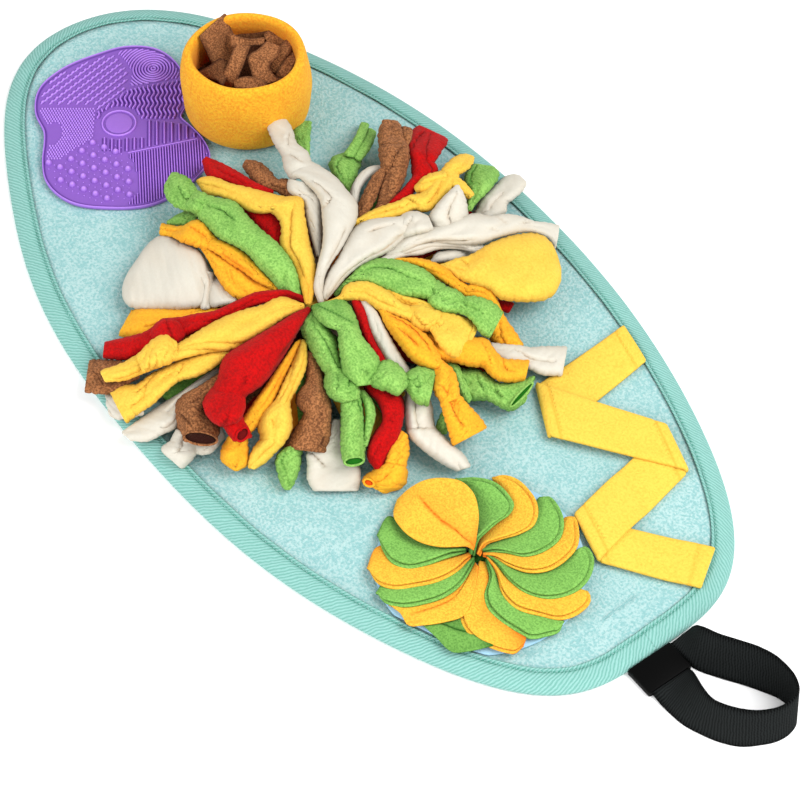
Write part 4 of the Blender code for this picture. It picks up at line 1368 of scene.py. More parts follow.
# Strap and keeper

STRAP_EDGES = (  # a place on the lower edge and one on the upper edge, mm
    ((342.3, 11.1, 2.4), (341.2, 31, 3.2)),
    ((351, 11.3, 1.5), (346.5, 28, 14)),
    ((362, 12.3, 0.5), (355, 24, 27)),
    ((379, 21, 0.5), (367, 29, 28)),
    ((391, 29, 0.5), (378, 36, 28)),
    ((403, 36, 0.5), (390, 43, 28)),
    ((415, 41.5, 0.5), (404, 46.5, 29)),
    ((426, 42, 0.5), (419, 45.5, 29.5)),
    ((434, 37, 0.5), (428.5, 40, 29.5)),
    ((437, 29, 0.5), (431, 32, 29.5)),
    ((436.5, 20, 0.5), (430, 23, 29)),
    ((432, 9, 0.5), (425, 12, 29)),
    ((425, -2, 0.5), (417, 3, 29)),
    ((415, -10, 0.5), (407, -4, 29)),
    ((403, -16, 0.5), (398, -6, 27)),
    ((392, -20, 0.5), (388, -4, 24)),
    ((380, -21.5, 0.6), (377, 1, 17)),
    ((371, -22, 1.4), (369, 6, 8)),
    ((364.5, -22, 2.8), (364.5, 8, 3.1)),
    ((342.3, -22, 2.9), (342.3, 8, 2.9)),
)
# Low and high corners of the keeper and of its slot
KEEPER_LOW = np.array((0.3415, -0.0250, 0.0))
KEEPER_HIGH = np.array((0.3635, 0.0106, 0.0058))
SLOT_LOW = np.array((0.3415, -0.0226, 0.0018))
SLOT_HIGH = np.array((0.3635, 0.0086, 0.0041))


class SNUFFLE_OT_strap(bpy.types.Operator):
    """Black webbing loop that stands on its edge"""

    bl_idname = "snuffle.strap"
    bl_label = "Strap"

    def execute(self, context):
        size = settings()
        edges = np.array(STRAP_EDGES, float).reshape(len(STRAP_EDGES), 6) * MM
        run = eased(edges, 150)
        low, high = run[:, :3], run[:, 3:]
        share = np.linspace(0, 1, 13)[:, None]
        middle = (1 - share) * low[:, None] + share * high[:, None]
        middle[..., 2] = np.maximum(middle[..., 2], 0.75 * MM)
        # Painted shade along both edges of the webbing.
        edge = np.clip((np.abs(share[:, 0] - 0.5) - 0.4) * 8, 0, 0.5)
        body = thick_sheet(middle, size.webbing, np.broadcast_to(edge, middle.shape[:2]), under=0.0)
        webbing = woven("black_webbing", "black", 520.0, 0.0, 420.0, 0.45 * MM, 0.9, 0.0)
        fill(webbing.node_tree.nodes["Principled BSDF"], Specular_IOR_Level=0.04)
        made = piece("strap_webbing", [body], webbing, ("strap",))
        return {"FINISHED"}


class SNUFFLE_OT_keeper(bpy.types.Operator):
    """Black plastic slider that holds the strap flat"""

    bl_idname = "snuffle.keeper"
    bl_label = "Keeper"

    def execute(self, context):
        def section(low, high, corner):
            """Rounded rectangle across the strap, anticlockwise."""
            turn = np.radians((0, 30, 60, 90))
            across, up = [], []
            corners = ((low[1], low[2]), (high[1], low[2]), (high[1], high[2]), (low[1], high[2]))
            for start, (y, z) in zip((180, 270, 0, 90), corners):
                away = np.radians(start) + turn
                across.append(y + corner * (np.cos(away) - np.sign(y - 0.5 * (low[1] + high[1]))))
                up.append(z + corner * (np.sin(away) - np.sign(z - 0.5 * (low[2] + high[2]))))
            return np.column_stack((np.concatenate(across), np.concatenate(up)))

        outer = section(KEEPER_LOW, KEEPER_HIGH, 1.4 * MM)
        inner = section(SLOT_LOW, SLOT_HIGH, 0.5 * MM)
        centre = 0.5 * (KEEPER_LOW + KEEPER_HIGH)[1:]
        left, right = KEEPER_LOW[0], KEEPER_HIGH[0]
        bevel = ((0.0, 0.93), (0.25 * MM, 0.975), (0.9 * MM, 1.0))
        steps = [(left, inner, 1.0), *((left + inward, outer, share) for inward, share in bevel)]
        steps += [*((right - inward, outer, share) for inward, share in bevel[::-1]), (right, inner, 1.0)]
        loops = []
        for x, shape, share in steps:
            plan = centre + (shape - centre) * (share, 1 - 2.2 * (1 - share))
            loops.append(np.column_stack((np.full(len(plan), x), plan)))
        loops = np.array(loops)
        body = surface(loops, grid_faces(*loops.shape[:2], round_rows=True, round_columns=True))
        piece("keeper_plastic", [body], plastic(), ("keeper",))
        return {"FINISHED"}


# Pompom

ROOT = np.array((0.0, -0.025))
WINDOW_LOW_LEFT = (80, 290, 9)  # left, top and scale of a close window on the frame
WINDOW_LOW = (220, 290, 8)
WINDOW_RIGHT = (320, 190, 7)
WINDOW_HIGH = (320, 100, 7)
WINDOW_LEFT = (110, 100, 8)
WINDOW_TALL = (258, 100, 8)
RIBBONS = (  # window, then its strips: dye, arch, creases as shares along,across in percent, and rows from
    # root to tip, each x,y of one edge and x,y of the other in the window and the crown height in mm
    (WINDOW_LOW_LEFT, (
        ("amber", 0.25, ((42,0, 45,80), (60,55, 85,65)), (1500,170,1500,230,30, 1100,165,1060,240,27,
            900,165,860,300,27, 700,160,640,420,26, 520,170,470,430,22, 480,185,355,415,17)),
        ("red", 0.3, ((0,45, 25,50, 50,70),), (2020,60,2010,115,44, 1890,5,1860,75,47, 1728,5,1692,108,48,
            1575,27,1530,153,46, 1440,85,1422,207,44, 1200,190,1250,280,42, 1035,215,1080,365,40,
            900,245,930,430,38, 760,260,800,480,36, 600,370,620,560,33, 440,420,430,630,29,
            240,465,222,615,24)),
        ("red", 0.35, ((45,0, 80,90),), (640,385,650,430,34, 700,292,700,470,42, 790,253,780,500,45,
            880,285,850,500,44, 940,375,905,450,38)),
        ("brown", 0.12, ((30,60, 90,35),), (500,660,520,800,26, 380,640,400,860,25, 240,628,250,935,22,
            100,628,58,925,17)),
        ("cream", 0.15, (), (520,960,560,1130,20, 400,970,400,1160,17, 300,950,330,1165,14,
            235,925,270,1130,10)),
        ("yellow", 0.28, ((42,25, 48,80), (74,25, 80,50, 92,75), (66,10, 85,30)), (1400,560,1400,600,40,
            1290,545,1300,620,41, 1180,545,1200,700,42, 1040,585,1050,780,41, 880,640,880,825,38,
            750,700,750,930,35, 640,755,650,1030,32, 500,850,560,1090,29, 370,840,480,1150,26,
            255,860,430,1192,22)),
        ("yellow", 0.28, ((28,100, 42,72, 58,35), (44,96, 58,62), (74,75, 84,80, 97,75)), (
            2000,125,2000,165,48, 1810,60,1835,255,52, 1640,135,1690,350,53, 1485,175,1550,435,53,
            1260,260,1370,540,52, 1080,360,1190,560,50, 940,450,990,600,47, 860,490,850,640,44,
            700,520,700,700,42, 560,560,580,745,39, 390,655,400,815,36, 195,722,245,825,32)),
        ("yellow", 0.3, ((10,90, 30,60), (30,100, 45,75)), (520,585,585,745,42, 600,500,650,715,47,
            690,425,725,690,50, 770,400,800,668,50, 855,460,862,620,47)),
        ("cream", 0.2, ((50,75, 70,80), (30,30, 60,35)), (1240,700,1240,760,24, 1100,800,1000,900,24,
            900,930,880,1110,24, 780,1000,860,1235,22, 640,1090,740,1300,20, 500,1190,600,1362,17,
            385,1272,480,1350,14)),
        ("cream", 0.15, (), (940,1250,1000,1300,20, 1010,1300,1000,1440,19, 1160,1300,1150,1478,18,
            1240,1180,1295,1340,18)),
        ("cream", 0.3, ((0,30, 60,45),), (860,1260,1070,1380,24, 810,1360,1060,1450,22, 740,1440,990,1550,18,
            850,1530,930,1602,12)),
        ("brown", 0.42, ((45,75, 56,45), (70,20, 85,35)), (1330,690,1370,800,34, 1180,795,1260,870,35,
            1060,875,1150,960,36, 940,940,1115,1020,37, 868,1010,1110,1090,37, 855,1130,1180,1170,35,
            870,1230,1260,1235,33, 900,1345,1235,1370,29)),
    )),
    (WINDOW_LOW, (
        ("amber", 0.35, ((0,45, 55,50), (70,55, 83,60), (86,20, 93,50, 88,85)), (600,440,655,400,40,
            470,620,560,600,41, 350,790,470,800,40, 230,960,390,960,37, 150,1080,300,1080,33,
            60,1190,225,1180,30, 8,1290,228,1310,26, 30,1380,215,1400,20, 110,1430,150,1432,16)),
        ("yellow", 0.38, ((5,60, 25,62, 48,70), (20,15, 45,30), (60,30, 66,45), (76,60, 95,40)), (
            655,400,690,430,42, 590,560,692,600,43, 500,760,630,760,42, 430,900,560,900,40,
            340,990,570,980,41, 300,1090,575,1110,38, 320,1190,510,1230,33, 270,1260,440,1300,28,
            230,1350,370,1370,23, 225,1410,290,1420,18)),
        ("green", 0.45, ((20,20, 50,22, 95,62),), (560,1250,680,1250,24, 480,1300,655,1300,24,
            443,1370,645,1400,22, 462,1460,620,1480,19, 485,1540,590,1550,15, 510,1582,570,1582,12)),
        ("cream", 0.08, ((50,10, 72,30), (90,22, 72,42)), (900,1050,960,1050,22, 860,1170,980,1160,21,
            700,1290,1010,1300,20, 698,1400,1115,1420,18, 700,1520,1122,1530,15, 738,1592,1108,1592,12)),
        ("brown", 0.38, ((62,0, 68,45, 62,90), (94,5, 95,80), (85,80, 97,82)), (690,480,760,540,38,
            690,640,815,660,38, 680,750,835,760,39, 620,830,870,830,42, 612,910,888,920,42,
            670,985,890,990,39, 640,1050,885,1060,36, 570,1150,890,1160,32, 500,1248,868,1292,27)),
        ("red", 0.38, ((86,35, 94,25), (70,10, 74,50)), (1055,95,1115,80,46, 1080,180,1165,165,47,
            1130,330,1210,315,45, 1190,450,1250,430,43, 1250,560,1330,560,40, 1150,720,1330,720,38,
            1160,790,1400,800,38, 1240,870,1462,870,38, 1290,960,1472,980,36, 1290,1070,1450,1110,34,
            1230,1150,1430,1190,33, 1178,1270,1370,1280,30, 1185,1350,1325,1370,26, 1235,1420,1300,1420,22)),
        ("cream", 0.35, (), (1110,88,1190,92,45, 1160,190,1265,200,47, 1205,330,1325,310,46,
            1265,450,1395,440,44, 1320,560,1465,555,40, 1400,650,1530,660,34)),
        ("cream", 0.35, ((10,30, 40,35), (38,0, 45,90)), (1500,800,1640,800,32, 1478,900,1700,940,31,
            1480,1030,1705,1010,30, 1510,1170,1730,1110,28, 1590,1250,1790,1170,27, 1690,1330,1870,1250,25,
            1800,1400,1960,1330,22, 1880,1440,2000,1400,19)),
        ("amber", 0.35, ((48,10, 53,80), (62,45, 90,35)), (1440,1130,1500,1180,26, 1360,1260,1512,1240,27,
            1330,1340,1512,1310,27, 1310,1400,1490,1400,25, 1240,1440,1500,1480,23, 1170,1480,1470,1570,20,
            1138,1520,1330,1622,16)),
        ("green", 0.4, ((15,50, 40,55, 70,68, 98,75),), (730,170,765,180,44, 645,280,850,290,50,
            665,370,920,380,51, 735,500,950,500,50, 800,610,975,600,48, 850,680,1010,670,46)),
        ("green", 0.4, (), (1105,815,1165,820,38, 1150,900,1222,900,38, 1165,1000,1243,990,36,
            1160,1130,1215,1100,34, 1150,1250,1172,1230,30)),
        ("green", 0.5, ((10,70, 35,85),), (965,800,1100,780,44, 966,900,1130,870,42, 968,1020,1150,1000,40,
            966,1160,1160,1130,37, 970,1300,1165,1280,34, 985,1375,1158,1360,32)),
        ("green", 0.4, ((10,55, 60,35), (75,30, 80,60), (30,90, 60,70)), (850,655,980,640,47,
            832,760,1060,710,51, 868,850,1115,780,50, 960,895,1120,850,46)),
        ("green", 0.33, ((0,10, 15,45, 30,85), (85,50, 90,65)), (728,135,1010,72,50, 745,200,1068,160,56,
            840,280,1105,270,59, 935,310,1140,385,60, 950,430,1208,465,60, 968,570,1275,560,58,
            985,680,1285,640,55, 1075,755,1245,735,50)),
        ("green", 0.35, ((10,80, 35,50),), (1240,620,1205,755,48, 1320,565,1245,785,53, 1400,580,1345,812,54,
            1470,650,1430,833,51, 1492,690,1482,780,46)),
        ("green", 0.25, ((10,45, 40,35, 62,60), (35,62, 60,60)), (1488,670,1488,780,44, 1560,622,1530,850,46,
            1640,605,1570,905,45, 1722,618,1652,925,42)),
        ("red", 0.38, ((10,100, 30,90, 50,95), (56,55, 64,75), (64,20, 66,95)), (700,140,715,175,46,
            600,185,670,250,53, 430,290,595,385,58, 200,425,515,520,60, 50,520,450,630,60, 5,600,345,755,58,
            -15,700,200,860,54, -60,800,180,920,50, -60,900,178,980,47, -20,1010,195,1050,44,
            40,1110,232,1110,41, 100,1200,252,1165,37)),
        ("red", 0.35, ((35,100, 60,75),), (-130,890,-95,1005,46, -75,800,-40,1065,51, 40,745,70,1085,53,
            140,760,160,1030,52, 185,850,190,950,47)),
    )),
    (WINDOW_HIGH, (
        ("green", 0.4, ((35,25, 70,20, 90,30),), (190,700,235,700,30, 190,640,232,600,30, 130,570,252,560,32,
            80,505,268,495,34, 65,440,290,440,35, 110,395,270,402,34, 160,380,240,390,31)),
        ("green", 0.25, (), (165,378,250,396,31, 200,330,272,345,30, 248,250,312,265,27, 285,163,345,178,22)),
        ("green", 0.3, (), (240,400,290,422,29, 255,350,332,370,28, 310,265,376,292,24, 340,200,392,236,20)),
        ("cream", 0.4, (), (205,700,250,780,36, 215,650,262,730,38, 235,585,277,640,39, 290,505,322,570,38,
            350,467,378,522,37, 425,455,445,505,35)),
        ("brown", 0.32, (), (262,832,318,822,42, 265,740,352,762,43, 287,690,388,700,44, 330,600,418,622,45,
            370,530,442,560,45, 425,480,465,488,44)),
        ("brown", 0.36, ((40,35, 90,20),), (350,810,430,775,38, 393,750,482,712,41, 412,640,565,615,43,
            436,560,597,540,44, 465,490,612,465,45)),
        ("brown", 0.34, ((5,30, 30,45, 50,75), (50,10, 60,50, 55,90)), (430,505,590,505,44,
            425,450,617,450,47, 411,380,631,400,48, 412,320,622,330,47, 405,262,602,278,42,
            414,200,582,215,39, 440,147,550,158,35)),
        ("brown", 0.2, (), (560,310,622,310,38, 560,240,645,255,37, 572,190,645,212,34)),
        ("red", 0.3, (), (470,735,520,725,38, 500,700,592,690,39, 570,635,657,650,40, 620,575,692,590,41,
            650,540,742,545,41)),
        ("red", 0.25, ((15,80, 45,60, 95,50), (55,10, 95,30)), (650,560,740,545,39, 640,500,825,492,41,
            636,420,803,435,42, 618,360,830,395,42, 611,290,862,345,39, 630,230,897,292,35,
            683,183,880,275,32)),
        ("yellow", 0.35, (), (860,560,872,640,46, 945,535,925,612,44, 1000,568,985,655,41,
            1076,650,1028,688,36)),
        ("yellow", 0.3, (), (850,520,965,558,44, 848,500,972,530,43, 900,432,1030,490,40, 958,393,1072,442,36,
            1005,384,1080,408,32)),
        ("yellow", 0.4, ((10,50, 80,40),), (870,500,875,585,46, 790,510,800,618,48, 720,545,730,647,47,
            666,600,690,648,43)),
        ("yellow", 0.33, ((30,40, 50,30), (58,10, 66,60), (72,60, 92,35)), (150,900,170,925,40,
            245,845,258,868,45, 330,790,392,840,46, 440,742,512,830,46, 545,708,592,802,47,
            620,670,657,770,48, 698,652,748,784,48, 760,596,835,720,48, 800,535,905,640,47,
            830,500,960,565,44)),
        ("green", 0.2, ((55,12, 98,14),), (1030,765,1060,765,28, 1033,700,1112,700,30, 1050,620,1182,635,31,
            1008,560,1240,562,30, 1038,490,1254,515,28, 1072,455,1228,480,24)),
        ("cream", 0.3, ((20,40, 60,50),), (1050,830,1200,835,26, 1088,780,1302,780,29, 1120,710,1312,725,29,
            1175,650,1372,677,28, 1240,585,1427,622,26, 1298,540,1438,577,24, 1345,528,1405,543,21)),
        ("cream", 0.3, ((0,50, 50,42, 85,50),), (780,890,1030,870,46, 757,830,1036,805,50,
            800,760,1030,740,53, 850,700,1018,690,54, 900,650,1000,648,55, 945,610,975,610,54)),
        ("cream", 0.3, (), (780,1130,800,1132,32, 800,1082,852,1132,34, 868,1060,930,1120,34,
            960,1054,1010,1100,33, 1070,1065,1070,1090,30)),
        ("cream", 0.3, ((30,50, 90,50),), (360,1160,380,1180,42, 440,1100,480,1130,43, 560,1050,592,1095,43,
            690,1000,702,1085,43, 820,985,822,1047,41, 950,990,950,1042,38, 1150,1025,1085,1070,34)),
        ("cream", 0.28, ((10,90, 30,80, 50,80), (60,50, 64,75), (66,10, 70,50), (78,50, 84,20)), (
            470,1060,480,1105,42, 600,965,600,1070,46, 700,915,760,1010,47, 850,872,900,1008,47,
            960,830,1010,1020,46, 1080,795,1130,1012,45, 1200,812,1230,972,43, 1290,798,1312,950,41,
            1390,812,1422,926,37, 1500,850,1530,936,31, 1582,858,1612,980,26, 1664,874,1642,1036,21)),
        ("cream", 0.3, ((10,55, 50,30),), (545,832,592,975,48, 600,788,672,945,53, 680,783,742,928,54,
            742,808,786,915,50)),
        ("cream", 0.26, ((0,70, 25,75, 60,85, 80,80), (62,30, 82,35)), (18,1370,50,1395,46,
            20,1330,110,1320,49, 60,1210,195,1225,51, 130,1100,300,1150,53, 178,990,400,1102,54,
            233,900,500,1055,54, 330,846,575,995,53, 450,830,642,942,52, 550,822,702,902,50,
            620,790,770,880,48)),
    )),
    (WINDOW_TALL, (
        ("cream", 0.3, (), (470,1240,502,1240,42, 420,1080,508,1100,44, 383,930,508,930,47,
            343,790,500,780,49, 238,720,480,757,50, 240,640,430,690,50)),
        ("cream", 0.3, ((45,50, 65,80), (15,70, 30,30)), (265,640,500,530,51, 213,560,436,500,51,
            188,450,402,425,49, 130,350,312,350,46, 85,250,277,240,43, 65,190,230,150,40, 98,130,217,110,38,
            150,83,195,83,35)),
        ("cream", 0.27, ((25,75, 40,70, 50,72), (62,0, 70,30, 85,20)), (480,1605,526,1605,46,
            448,1510,522,1520,50, 462,1400,536,1400,53, 485,1290,592,1290,55, 512,1180,672,1180,56,
            522,1060,740,1060,57, 512,930,795,930,58, 500,820,787,815,58, 455,735,717,735,58,
            385,670,642,640,57, 325,620,562,575,55, 255,610,450,508,52)),
        ("green", 0.2, (), (330,380,410,450,27, 285,250,415,320,26, 343,180,431,182,22)),
    )),
    (WINDOW_RIGHT, (
        ("amber", 0.3, ((30,50, 60,62, 80,50),), (380,520,380,550,38, 550,485,560,502,42, 660,478,700,548,44,
            780,503,830,612,45, 880,548,890,662,44, 960,618,940,702,42, 1036,663,1010,748,40)),
        ("amber", 0.28, ((0,60, 25,45), (60,40, 95,55)), (1030,668,1010,752,40, 1100,654,1080,762,41,
            1202,680,1160,802,39, 1247,790,1190,900,35, 1302,900,1195,990,31, 1372,1000,1188,1042,28,
            1422,1086,1235,1092,24)),
        ("yellow", 0.17, ((22,10, 30,50, 28,85), (12,50, 26,60)), (800,540,800,560,38, 880,510,900,562,41,
            962,477,972,622,43, 1050,458,1040,652,45, 1118,420,1100,668,47, 1200,371,1195,700,47,
            1300,331,1262,762,45, 1400,309,1360,780,42, 1502,304,1482,783,38, 1582,338,1572,770,33,
            1642,430,1642,716,28, 1675,540,1674,640,23)),
        ("red", 0.2, (), (1180,750,1180,800,22, 1250,770,1255,840,20, 1350,788,1308,857,17)),
        ("red", 0.2, (), (600,730,620,780,40, 700,745,720,800,40, 790,770,790,810,38)),
        ("cream", 0.14, ((30,30, 60,50, 90,55),), (1195,1070,1240,1150,27, 1300,1080,1300,1200,27,
            1400,1088,1400,1220,25, 1470,1102,1460,1250,23, 1560,1095,1540,1290,20, 1718,1095,1680,1302,16)),
        ("green", 0.36, ((40,20, 50,70), (60,20, 72,60)), (820,1240,900,1300,22, 900,1240,960,1370,23,
            1000,1248,1010,1450,25, 1085,1250,1065,1473,27, 1180,1300,1180,1476,27, 1242,1345,1232,1502,26,
            1345,1345,1292,1537,26, 1440,1325,1345,1542,26, 1498,1302,1420,1490,25)),
        ("green", 0.3, (), (850,1190,900,1245,30, 962,1224,935,1282,31, 1002,1310,960,1342,30,
            1052,1400,980,1425,27, 1057,1440,1030,1490,24)),
        ("green", 0.2, (), (850,1560,905,1600,22, 820,1630,895,1652,20, 803,1690,890,1697,17)),
        ("amber", 0.34, ((55,20, 68,60), (78,0, 84,50, 92,60)), (700,1000,700,1100,38, 812,1000,840,1195,42,
            950,1020,950,1210,42, 1062,1030,1060,1237,42, 1160,1038,1150,1247,40, 1202,1098,1190,1292,38,
            1282,1178,1260,1338,36, 1362,1186,1340,1347,33, 1458,1188,1417,1342,28)),
        ("amber", 0.36, ((60,30, 90,40),), (790,1230,862,1200,42, 800,1300,932,1260,44, 794,1400,967,1360,45,
            848,1492,977,1440,42)),
        ("amber", 0.16, ((5,32, 40,30, 80,40),), (838,1475,975,1430,40, 870,1590,1042,1510,38,
            903,1700,1112,1582,33, 924,1780,1164,1652,28)),
        ("amber", 0.34, ((35,75, 60,80, 85,70), (50,35, 75,45)), (250,760,260,785,40, 405,825,440,845,46,
            448,930,522,880,49, 500,1012,622,920,50, 560,1092,712,985,50, 620,1168,792,1060,49,
            690,1222,837,1150,47, 792,1247,857,1208,44)),
        ("yellow", 0.3, ((20,50, 60,50),), (330,640,400,690,46, 450,668,522,762,47, 562,733,602,802,47,
            680,763,700,832,46, 785,805,800,855,45, 900,850,890,885,42)),
        ("yellow", 0.34, ((30,50, 60,60, 90,50),), (40,790,60,805,44, 138,745,150,768,48, 178,668,240,772,51,
            280,638,322,782,52, 380,648,420,848,52, 470,705,522,882,51, 562,790,602,907,50,
            642,818,652,932,48)),
        ("yellow", 0.12, ((0,40, 25,50), (92,10, 97,90)), (800,832,778,982,48, 900,858,840,1092,48,
            1002,883,905,1162,45, 1108,928,988,1192,40)),
        ("yellow", 0.33, ((20,50, 70,70),), (640,812,632,905,48, 702,803,652,962,51, 782,828,702,992,51,
            852,848,782,986,48)),
        ("green", 0.16, ((10,40, 40,45, 60,50),), (1000,755,960,855,45, 1062,743,1040,892,48,
            1152,760,1096,952,47, 1228,798,1125,1005,43, 1274,850,1172,1037,39)),
        ("green", 0.33, ((30,25, 60,30, 85,45),), (100,720,130,742,40, 213,605,225,642,46, 268,540,342,642,50,
            378,483,442,692,53, 500,478,562,747,53, 642,513,662,757,52, 752,568,752,767,50,
            832,648,775,772,47)),
        ("green", 0.36, ((0,50, 20,50),), (828,630,752,765,47, 882,673,768,812,51, 952,698,850,855,51,
            1012,743,960,864,47)),
    )),
    (WINDOW_LEFT, (
        ("cream", 0.2, (), (1010,1583,985,1625,34, 940,1518,900,1642,35, 872,1430,830,1662,34,
            800,1400,790,1662,30)),
        ("cream", 0.15, ((0,50, 50,40, 100,50),), (700,1362,830,1398,34, 748,1450,826,1460,33,
            744,1550,808,1560,32, 725,1657,802,1662,31)),
        ("cream", 0.12, ((0,50, 12,45),), (800,1375,742,1655,32, 722,1218,690,1663,36, 640,1158,600,1673,37,
            550,1123,500,1679,35, 470,1086,400,1683,32, 395,1090,300,1683,29, 300,1170,200,1668,26,
            218,1290,132,1628,22, 150,1395,110,1560,18, 126,1450,110,1520,16)),
        ("green", 0.25, (), (720,900,660,980,30, 620,890,600,1002,29, 540,920,520,1002,26,
            470,970,470,995,22)),
        ("amber", 0.22, (), (1330,1500,1300,1560,38, 1150,1420,1080,1602,41, 1040,1350,980,1572,42,
            940,1290,880,1452,42, 850,1230,798,1300,40, 768,1170,735,1200,38)),
        ("amber", 0.32, ((30,70, 80,80),), (1332,1490,1320,1522,42, 1242,1400,1160,1440,46,
            1152,1298,1050,1362,47, 1062,1203,960,1312,47, 950,1150,870,1240,46, 850,1110,770,1182,43)),
        ("amber", 0.3, ((15,30, 35,40, 50,30), (60,50, 90,40)), (862,1110,750,1192,42, 802,1040,680,1172,44,
            760,983,618,1152,45, 690,961,560,1132,43, 600,1010,500,1096,35, 420,988,406,1087,25)),
        ("red", 0.2, (), (1500,1400,1400,1400,40, 1400,1150,1280,1200,42, 1380,1000,1210,1060,42,
            1300,880,1110,950,41, 1200,820,1030,870,40)),
        ("red", 0.25, ((30,50, 80,40),), (1300,720,1280,760,36, 1150,652,1080,720,36, 1030,578,920,655,34,
            900,508,778,614,29, 780,458,742,502,24)),
        ("brown", 0.35, ((20,50, 45,60),), (1500,790,1440,800,40, 1422,636,1400,772,40, 1342,634,1290,717,38,
            1272,556,1180,692,35, 1182,493,1100,592,31, 1100,478,1066,542,27)),
        ("yellow", 0.24, ((12,60, 30,62, 42,55, 50,30), (86,40, 98,50)), (1612,1622,1558,1622,46,
            1652,1450,1528,1500,49, 1640,1300,1448,1292,51, 1600,1150,1360,1180,52, 1572,1000,1370,1040,53,
            1552,880,1350,960,53, 1550,790,1292,902,53, 1400,778,1190,902,51, 1252,740,1095,884,49,
            1102,700,1000,822,46, 960,667,878,772,42, 840,618,788,759,38, 740,619,733,712,35,
            704,645,712,662,33)),
        ("green", 0.16, ((10,60, 60,40),), (705,732,600,887,42, 642,638,508,846,41, 582,598,446,772,37,
            510,576,440,700,31)),
        ("green", 0.32, ((70,30, 95,40),), (1545,1575,1340,1515,45, 1502,1390,1268,1422,52,
            1442,1268,1178,1332,56, 1342,1148,1108,1242,57, 1212,1038,1008,1172,57, 1102,928,878,1112,55,
            992,808,778,1032,52, 882,788,718,962,49, 790,763,678,902,46)),
        ("green", 0.35, ((10,50, 80,50),), (812,772,702,922,46, 742,738,658,902,48, 690,722,598,882,44)),
    )),
)
MOUTHS = (  # dye, window, centre x, y, half sizes along and across, turn in degrees, height mm
    ("brown", WINDOW_LOW_LEFT, 1085, 1335, 150, 58, 8, 33), ("green", WINDOW_LOW, 1073, 1370, 78, 34, -8, 35),
    ("red", WINDOW_LOW, 180, 1155, 62, 42, -50, 41), ("amber", WINDOW_LOW, 1190, 1542, 42, 28, 20, 20),
    ("green", WINDOW_RIGHT, 1412, 1432, 112, 20, -47, 28.5),
)
MOUTH_RIM = 1.25  # half the thickness of a mouth's rim, in frame units
STRIP_PILE = {  # each dye's tufts a metre, contrast, depth, strength and pit tone, the share of painted shade in the pile's pits
    "green": (600, 1.3, 1.6 * MM, 0.7, 0.45), "cream": (560, 0.35, 1.2 * MM, 0.25, 0.3),
    "yellow": (560, 0.85, 1.5 * MM, 0.55, 0.34), "red": (560, 1.3, 1.5 * MM, 0.65, 0.45),
    "brown": (640, 1.8, 1.7 * MM, 0.9, 0.6), "amber": (560, 0.95, 1.5 * MM, 0.55, 0.34),
}
FOLD_DEPTH = {"cream": 0.25, "yellow": 0.45, "red": 0.3, "green": 0.5, "brown": 0.6, "amber": 0.5}
UNDER_DYES = ("green", "cream", "yellow", "red", "brown", "amber")
FLOOR_OF_STRANDS = SEAT + 2.0 * MM
STRIP_COLUMNS = 21
STRIP_STEP, STRIP_ROWS = 0.86, (20, 62)  # frame units from row to row, and the fewest and most rows
SECTION_POWER = 3.2  # 2 would be an ellipse
LOW_TIP = 34  # mm: rear strips with a tip below this bend down to the pile
CREASE_DEPTH, CREASE_LIP, CREASE_FADE = 1.6, 1.9, 0.05  # mm, mm and a share of the length
UNDER_COUNT = 34  # plain strips in the depth of the pompom


def seen(window, places):
    """Frame places from places in a close window on the frame."""
    left, top, scale = window
    return np.array((left, top)) + np.asarray(places, float) / scale


